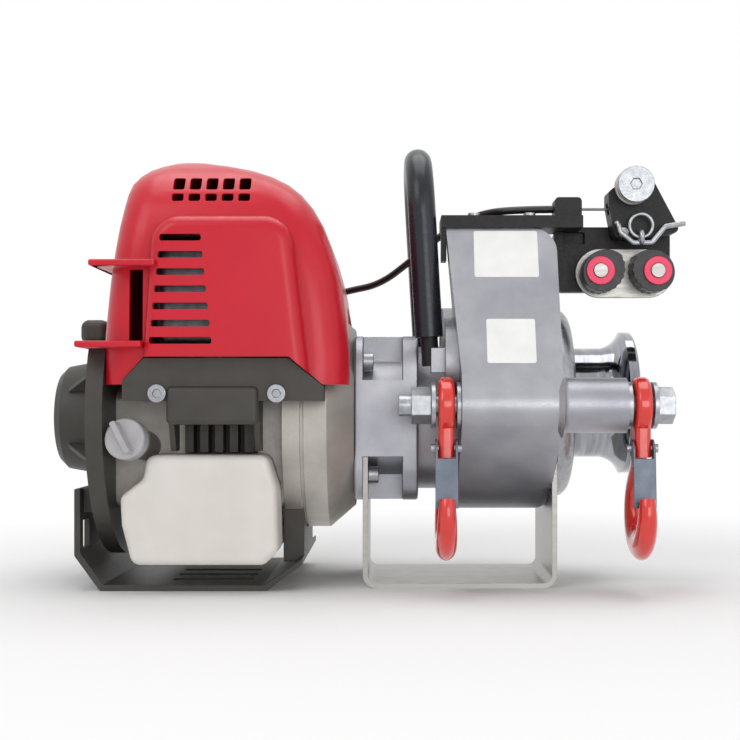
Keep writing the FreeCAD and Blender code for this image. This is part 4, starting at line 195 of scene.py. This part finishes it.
# Laid black polyester starter rope: matt, with fine light and dark fibres.
rope_polyester = finish_surface("laid_black_polyester", ("#2B2B2B", "#161616"), 1.2, (0.6, 0.8), 0.7, 0.3)
# Blank white vinyl label: smooth and slightly glossy, with a trace of wrinkle.
label_vinyl = finish_surface("blank_white_vinyl_label", ("#E9E9E7", "#E1E1DF"), 12, (0.34, 0.44), 4, 0.02)
# Natural polyethylene tank: milky, slightly see-through at its edges, waxy.
milky_tank = finish_surface("blow_moulded_polyethylene", ("#DDD9D4", "#D3CFC9"), 30, (0.4, 0.5), 3, 0.06)
tank_inputs = milky_tank.node_tree.nodes["Principled BSDF"].inputs
tank_inputs["Subsurface Weight"].default_value = 0.25
tank_inputs["Subsurface Radius"].default_value = (5 * MM, 4.5 * MM, 4 * MM)

LOOKS = {
    cast_alloy: ("clutch_housing", "gear_cover", "gear_housing"),
    engine_alloy: ("crankcase", "fan_housing", "carburettor"),
    stainless: ("foot_strap", "cam_plate", "guide_roller", "pivot_pins"),
    zinc: ("rope_ring", "drum_bolt", "throttle_arm", "hook_bolt", "hook_nut", "hook_washers", "latch_pin_left",
           "latch_pin_right", "roller_bolt", "rope_keeper", "pull_ring", "large_screws", "small_screws"),
    machined: ("clutch_drum", "counter_one", "counter_two", "output_gear", "bearings", "drum_shaft", "flywheel",
               "clutch_shoe_rear", "clutch_shoe_front", "crankshaft", "muffler", "throttle_wire"),
    drum_chrome: ("capstan_drum",),
    red_abs: ("top_cover",),
    black_nylon: ("starter_cover", "starter_reel", "starter_grip", "under_cover", "air_cleaner", "fuel_cap",
                  "tank_guard", "spark_plug"),
    powder_black: ("rope_bracket", "throttle_lever", "handle_bar"),
    red_enamel: ("hook_left", "hook_right"),
    latch_steel: ("latch_left", "latch_right"),
    vinyl: ("handle_grip",),
    grey_acetal: ("oil_cap",),
    anodised: ("cam_left", "cam_right"),
    pink_acetal: ("cam_rings",),
    rope_polyester: ("starter_rope",),
    cable_pvc: ("throttle_cable",),
    milky_tank: ("fuel_tank",),
}
for look, names in LOOKS.items():
    for name in names:
        NODES[name].data.materials.clear()
        NODES[name].data.materials.append(look)
LOOK_OF = {name: look for look, names in LOOKS.items() for name in names}
# Faces that meet at more than this stay sharp.
CREASE = math.radians(32)
WELD_DISTANCE = 0.01 * MM
ROUNDING_STEPS = 2


def link_piece(name, bm, look, body=None):
    """A mesh piece at the origin that rides on a body, or is left free for a blend."""
    mesh = bpy.data.meshes.new(name)
    bm.to_mesh(mesh)
    bm.free()
    mesh.materials.append(look)
    piece = bpy.data.objects.new(name, mesh)
    bpy.context.scene.collection.objects.link(piece)
    if body:
        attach(piece, body)
    return piece


def crease_edges(bm):
    """Smooth faces that stay sharp where they meet at a clear angle."""
    for face in bm.faces:
        face.smooth = True
    for edge in bm.edges:
        edge.smooth = len(edge.link_faces) == 2 and edge.calc_face_angle(0) < CREASE


def soften(piece, width):
    """Round the clear edges of a piece by a small width."""
    bevel = piece.modifiers.new("edge_rounding", "BEVEL")
    bevel.width = width
    bevel.segments = ROUNDING_STEPS
    bevel.limit_method = "ANGLE"
    bevel.angle_limit = CREASE
    bevel.harden_normals = True


def skin_of(name, width, flat_angle):
    """A merged copy of a CAD node with its edges rounded, in the node's place."""
    source = NODES[name]
    bm = bmesh.new()
    bm.from_mesh(source.data)
    bmesh.ops.remove_doubles(bm, verts=bm.verts, dist=WELD_DISTANCE)
    if flat_angle:
        bmesh.ops.dissolve_limit(bm, angle_limit=math.radians(flat_angle), verts=bm.verts, edges=bm.edges)
    crease_edges(bm)
    skin = link_piece(f"{name}_skin", bm, LOOK_OF[name], source["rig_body"])
    if width:
        soften(skin, width)
    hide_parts(name)
    return skin


# Edge rounding of each moulded, cast or pressed piece, in millimetres.
ROUNDED = {
    0.9: ("gear_housing", "gear_cover", "clutch_housing", "fan_housing", "crankcase"),
    0.6: ("starter_cover", "under_cover", "tank_guard", "rope_bracket", "throttle_lever"),
    0.4: ("foot_strap", "cam_plate", "oil_cap", "latch_left", "latch_right", "hook_nut", "hook_bolt", "drum_bolt",
          "fuel_cap", "hook_washers", "cam_left", "cam_right", "guide_roller", "roller_bolt", "large_screws",
          "small_screws", "cam_rings", "carburettor", "pivot_pins"),
}
# Pieces that are round in the source already, and only have their flat faces joined.
ROUND_ALREADY = ("top_cover", "hook_left", "hook_right", "air_cleaner", "starter_grip")
# Triangles within these angles, in degrees, become one face.
FLAT_ON_EDGED = 1
FLAT_ON_ROUND = 0.05
SKINS = {}
for width, names in ROUNDED.items():
    for name in names:
        SKINS[name] = skin_of(name, width * MM, FLAT_ON_EDGED)
for name in ROUND_ALREADY:
    SKINS[name] = skin_of(name, 0, FLAT_ON_ROUND)
# The tank keeps its triangles, because joining them loses its front.
SKINS["fuel_tank"] = skin_of("fuel_tank", 0, 0)

# The ribs under the dark front cover: x from and to, the crankcase's front, z from and to.
RIBS = ((-0.1575, -0.116), -0.0452, (0.078, 0.108))
# Thickness and edge rounding of the dark plate of painted shade behind the ribs.
SHADE_PLATE_THICKNESS = 0.0006
SHADE_PLATE_EDGE = 0.0002


def blacken_ribs(skin):
    """Black on the cooling ribs of the crankcase: partly their own dark colour, partly painted shade from the deep
    pocket they sit in.
    """
    skin.data.materials.append(black_nylon)
    (left, right), front, (low, high) = RIBS
    for face in skin.data.polygons:
        if left < face.center.x < right and face.center.y < front and low < face.center.z < high:
            face.material_index = 1


def make_rib_painted_shade():
    """Dark plate behind the ribs, on the crankcase's front: painted shade in the gaps between them."""
    (left, right), front, (low, high) = RIBS
    bm = bmesh.new()
    bmesh.ops.create_cube(bm, size=1)
    bmesh.ops.scale(bm, vec=(right - left, SHADE_PLATE_THICKNESS, high - low), verts=bm.verts)
    bmesh.ops.bevel(bm, geom=bm.edges[:], offset=SHADE_PLATE_EDGE, segments=ROUNDING_STEPS, profile=0.5,
                    affect="EDGES", material=-1)
    bmesh.ops.translate(bm, vec=((left + right) / 2, front, (low + high) / 2), verts=bm.verts)
    link_piece("rib_painted_shade", bm, black_nylon, "frame")


# The ribs' black is partly painted shade, and the dark plate behind them is painted shade.
blacken_ribs(SKINS["crankcase"])
make_rib_painted_shade()

# The air cleaner's lid: a shallow panel with rounded corners and one screw in its middle.
PANEL_MARGIN = 0.004
PANEL_CORNER = 0.006
PANEL_CORNER_STEPS = 5
PANEL_SLOPE = 0.0012
PANEL_DEPTH = 0.0016
LID_SCREW_RADIUS = 0.0045
LID_SCREW_HEIGHT = 0.0014
LID_SCREW_SIDES = 32
# Least share of a face's normal that points to the rear on a rear face.
REAR_SHARE = 0.999


def rear_face(bm):
    """The largest flat face that looks to the rear."""
    flat = [face for face in bm.faces if face.normal.y > REAR_SHARE]
    return max(flat, key=lambda face: face.calc_area())


def recess_lid(skin):
    """Sink a panel into the air cleaner's rear face, and give its middle."""
    bm = bmesh.new()
    bm.from_mesh(skin.data)
    bmesh.ops.inset_region(bm, faces=[rear_face(bm)], thickness=PANEL_MARGIN, use_even_offset=True)
    bmesh.ops.bevel(bm, geom=rear_face(bm).verts[:], offset=PANEL_CORNER, segments=PANEL_CORNER_STEPS, profile=0.5,
                    affect="VERTICES", material=-1)
    bmesh.ops.inset_region(bm, faces=[rear_face(bm)], thickness=PANEL_SLOPE, depth=-PANEL_DEPTH,
                           use_even_offset=True)
    middle = rear_face(bm).calc_center_median()
    crease_edges(bm)
    bm.to_mesh(skin.data)
    bm.free()
    return middle


def make_lid_screw(seat):
    """Low screw head with a sunk middle on the air cleaner's lid."""
    bm = bmesh.new()
    bmesh.ops.create_cone(bm, cap_ends=True, segments=LID_SCREW_SIDES, radius1=LID_SCREW_RADIUS,
                          radius2=LID_SCREW_RADIUS, depth=LID_SCREW_HEIGHT)
    bmesh.ops.rotate(bm, matrix=Matrix.Rotation(math.radians(-90), 3, "X"), verts=bm.verts)
    bm.normal_update()
    bmesh.ops.bevel(bm, geom=rear_face(bm).edges[:], offset=LID_SCREW_HEIGHT / 3, segments=ROUNDING_STEPS,
                    profile=0.5, affect="EDGES", material=-1)
    bmesh.ops.inset_region(bm, faces=[rear_face(bm)], thickness=LID_SCREW_RADIUS / 3, use_even_offset=True)
    bmesh.ops.inset_region(bm, faces=[rear_face(bm)], thickness=LID_SCREW_HEIGHT / 9, depth=-LID_SCREW_HEIGHT / 2,
                           use_even_offset=True)
    bmesh.ops.translate(bm, vec=seat + Vector((0, LID_SCREW_HEIGHT / 2, 0)), verts=bm.verts)
    crease_edges(bm)
    link_piece("lid_screw", bm, zinc, "frame")


make_lid_screw(recess_lid(SKINS["air_cleaner"]))

# The housing's slanted front, from the foot of its slope, and the two blank labels on it: left, right, low, high.
SLOPE_FOOT = Vector((0, -0.08919, 0.11123))
SLOPE = math.radians(22)
LABELS = {
    "label_upper": (0.0074, 0.0436, 0.1777, 0.205),
    "label_lower": (0.0132, 0.0402, 0.1287, 0.1535),
}
LABEL_THICKNESS = 0.00012
LABEL_CORNER = 0.0012
LABEL_CORNER_STEPS = 4


def make_label(name, left, right, low, high):
    """A thin blank label with rounded corners that lies on the slanted front."""
    bm = bmesh.new()
    bmesh.ops.create_cube(bm, size=1)
    tall = (high - low) / math.cos(SLOPE)
    bmesh.ops.scale(bm, vec=(right - left, LABEL_THICKNESS, tall), verts=bm.verts)
    corners = [edge for edge in bm.edges
               if abs(edge.verts[0].co.y - edge.verts[1].co.y) > LABEL_THICKNESS / 2]
    bmesh.ops.bevel(bm, geom=corners, offset=LABEL_CORNER, segments=LABEL_CORNER_STEPS, profile=0.5,
                    affect="EDGES", material=-1)
    rise = (low + high) / 2 - SLOPE_FOOT.z
    back = SLOPE_FOOT.y + rise * math.tan(SLOPE) - LABEL_THICKNESS / 2
    middle = Vector(((left + right) / 2, back, SLOPE_FOOT.z + rise))
    bmesh.ops.rotate(bm, matrix=Matrix.Rotation(-SLOPE, 3, "X"), verts=bm.verts)
    bmesh.ops.translate(bm, vec=middle, verts=bm.verts)
    bmesh.ops.recalc_face_normals(bm, faces=bm.faces)
    link_piece(name, bm, label_vinyl, "frame")


for name, span in LABELS.items():
    make_label(name, *span)

# The throttle cable's route, as in the part's source.
CABLE_ROUTE = [
    (-0.1260, 0.0680, 0.1715), (-0.0997, 0.0680, 0.1715), (-0.0697, 0.0615, 0.1801), (-0.0471, 0.0507, 0.1834),
    (-0.0265, 0.0334, 0.1976), (-0.0077, 0.0086, 0.2114), (0.0111, -0.0184, 0.2190), (0.0317, -0.0400, 0.2190),
    (0.06175, -0.0400, 0.2190),
]
CABLE_RADIUS = 0.0022
CABLE_ROUND_STEPS = 6
CABLE_LENGTH_STEPS = 16


def make_cable():
    """Outer throttle cable on one smooth curve."""
    curve = bpy.data.curves.new("throttle_sheath", "CURVE")
    curve.dimensions = "3D"
    curve.bevel_depth = CABLE_RADIUS
    curve.bevel_resolution = CABLE_ROUND_STEPS
    curve.use_fill_caps = True
    curve.resolution_u = CABLE_LENGTH_STEPS
    spline = curve.splines.new("NURBS")
    spline.points.add(len(CABLE_ROUTE) - 1)
    for point, place in zip(spline.points, CABLE_ROUTE):
        point.co = (*place, 1.0)
    spline.order_u = 3
    spline.use_endpoint_u = True
    curve.materials.append(cable_pvc)
    cable = bpy.data.objects.new("throttle_sheath", curve)
    bpy.context.scene.collection.objects.link(cable)
    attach(cable, "frame")
    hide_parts("throttle_cable")


make_cable()

# The starter rope: its strands, a strand's sides, and its turns and steps from reel to grip.
ROPE_STRANDS = 3
STRAND_SIDES = 8
ROPE_TURNS = 8
ROPE_STEPS = 96


def make_starter_rope():
    """Laid starter rope in the place of the source rope, on no body."""
    low, high = (Vector(corner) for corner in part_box("starter_rope"))
    middle = (low + high) / 2
    strand_radius = (high.x - low.x) / 4
    rise = Vector((0, 0, (high.z - low.z) / ROPE_STEPS))
    bm = bmesh.new()
    for strand in range(ROPE_STRANDS):
        turn = Matrix.Rotation(math.tau * strand / ROPE_STRANDS, 3, "Z")
        out = turn @ Vector((strand_radius, 0, 0))
        start = Matrix.Translation((middle.x + out.x, middle.y + out.y, low.z))
        disc = bmesh.ops.create_circle(bm, cap_ends=True, segments=STRAND_SIDES, radius=strand_radius,
                                       matrix=start)
        bmesh.ops.spin(bm, geom=disc["verts"][0].link_faces[:], cent=middle, axis=(0, 0, 1), dvec=rise,
                       angle=math.tau * ROPE_TURNS, steps=ROPE_STEPS)
    bmesh.ops.recalc_face_normals(bm, faces=bm.faces)
    crease_edges(bm)
    rope = link_piece("laid_starter_rope", bm, rope_polyester)
    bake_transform(rope)
    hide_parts("starter_rope")


make_starter_rope()

# Camera at the photograph's place: level, a little left of the foot's middle.
CAMERA_PLACE = (-0.038, -0.8, 0.1074)
LENS_MM = 63.8
SENSOR_MM = 36
PHOTO_SHIFT = (-0.0324, 0.0432)


def make_camera():
    """Level camera at the photograph's angle."""
    lens = bpy.data.cameras.new("photo_camera")
    lens.lens = LENS_MM
    lens.sensor_width = SENSOR_MM
    lens.shift_x, lens.shift_y = PHOTO_SHIFT
    camera = bpy.data.objects.new("photo_camera", lens)
    camera.location = CAMERA_PLACE
    camera.rotation_euler = (math.radians(90), 0, 0)
    bpy.context.scene.collection.objects.link(camera)
    bpy.context.scene.camera = camera


# Soft boxes: where each stands, what it is aimed at, its side and its watts.
LAMPS = {
    "key_left": ((-0.9, -1.1, 1.1), (-0.05, 0, 0.12), 0.9, 6),
    "fill_right": ((1.0, -1.0, 0.5), (0.03, 0, 0.12), 1.0, 2),
    "low_front": ((0.3, -1.3, 0.14), (0.03, 0, 0.09), 0.7, 5),
    "top": ((0.0, 0.1, 1.4), (0, 0, 0.1), 1.2, 10),
}
# The world's level as a light, and as the backdrop that is seen.
WORLD_LIGHT = 0.45
WORLD_SEEN = 1.0
# The floor's half side, and the distances between which it runs to white.
FLOOR_HALF = 6
FADE_FROM, FADE_TO = 0.2, 0.55


def make_lamp(name, place, aim, size, power):
    """A square soft box aimed at a point."""
    light = bpy.data.lights.new(name, "AREA")
    light.size = size
    light.energy = power
    lamp = bpy.data.objects.new(name, light)
    lamp.location = place
    lamp.rotation_euler = (Vector(aim) - Vector(place)).to_track_quat("-Z", "Y").to_euler()
    bpy.context.scene.collection.objects.link(lamp)


def ray_share(tree, *kinds):
    """One for these kinds of ray, zero for the others."""
    path = add_node(tree, "ShaderNodeLightPath")
    share = path.outputs[kinds[0]]
    for kind in kinds[1:]:
        share = add_node(tree, "ShaderNodeMath", {"operation": "MAXIMUM"}, i0=share,
                         i1=path.outputs[kind]).outputs[0]
    return share


def make_floor():
    """Plain pale floor that keeps the shadow near the foot and runs to white further off."""
    bm = bmesh.new()
    bmesh.ops.create_grid(bm, x_segments=1, y_segments=1, size=FLOOR_HALF)
    mesh = bpy.data.meshes.new("studio_floor")
    bm.to_mesh(mesh)
    bm.free()
    floor = bpy.data.objects.new("studio_floor", mesh)
    material, tree, shader, place = blank_material("pale_matt_floor")
    shader.inputs["Base Color"].default_value = hex_colour("#F4F4F4")
    shader.inputs["Roughness"].default_value = 0.9
    shader.inputs["Specular IOR Level"].default_value = 0.1
    distance = add_node(tree, "ShaderNodeVectorMath", {"operation": "LENGTH"}, i0=place).outputs["Value"]
    far = add_node(tree, "ShaderNodeMapRange", {"interpolation_type": "SMOOTHSTEP"}, Value=distance,
                   From_Min=FADE_FROM, From_Max=FADE_TO, To_Min=0.0, To_Max=1.0).outputs["Result"]
    direct = add_node(tree, "ShaderNodeMath", {"operation": "MULTIPLY"}, i0=far,
                      i1=ray_share(tree, "Is Camera Ray"))
    share = add_node(tree, "ShaderNodeMath", {"operation": "MAXIMUM"}, i0=direct.outputs[0],
                     i1=ray_share(tree, "Is Glossy Ray", "Is Transmission Ray")).outputs[0]
    white = add_node(tree, "ShaderNodeEmission", None, Color=hex_colour(WHITE), Strength=WORLD_SEEN)
    both = add_node(tree, "ShaderNodeMixShader", None, Fac=share, i1=shader.outputs["BSDF"],
                    i2=white.outputs[0])
    tree.links.new(both.outputs[0], tree.nodes["Material Output"].inputs["Surface"])
    material.cycles.emission_sampling = "NONE"
    mesh.materials.append(material)
    bpy.context.scene.collection.objects.link(floor)


def make_world():
    """White backdrop for what the camera, gloss and clear material see, and a softer level for light."""
    world = bpy.data.worlds.new("studio")
    world.use_nodes = True
    tree = world.node_tree
    tree.nodes.clear()
    seen = ray_share(tree, "Is Camera Ray", "Is Glossy Ray", "Is Transmission Ray")
    light = add_node(tree, "ShaderNodeBackground", None, Color=hex_colour(WHITE), Strength=WORLD_LIGHT)
    white = add_node(tree, "ShaderNodeBackground", None, Color=hex_colour(WHITE), Strength=WORLD_SEEN)
    both = add_node(tree, "ShaderNodeMixShader", None, Fac=seen, i1=light.outputs[0], i2=white.outputs[0])
    add_node(tree, "ShaderNodeOutputWorld", None, Surface=both.outputs[0])
    bpy.context.scene.world = world


make_camera()
make_floor()
make_world()
for name, (place, aim, size, power) in LAMPS.items():
    make_lamp(name, place, aim, size, power)
bpy.context.scene.view_settings.view_transform = "Standard"
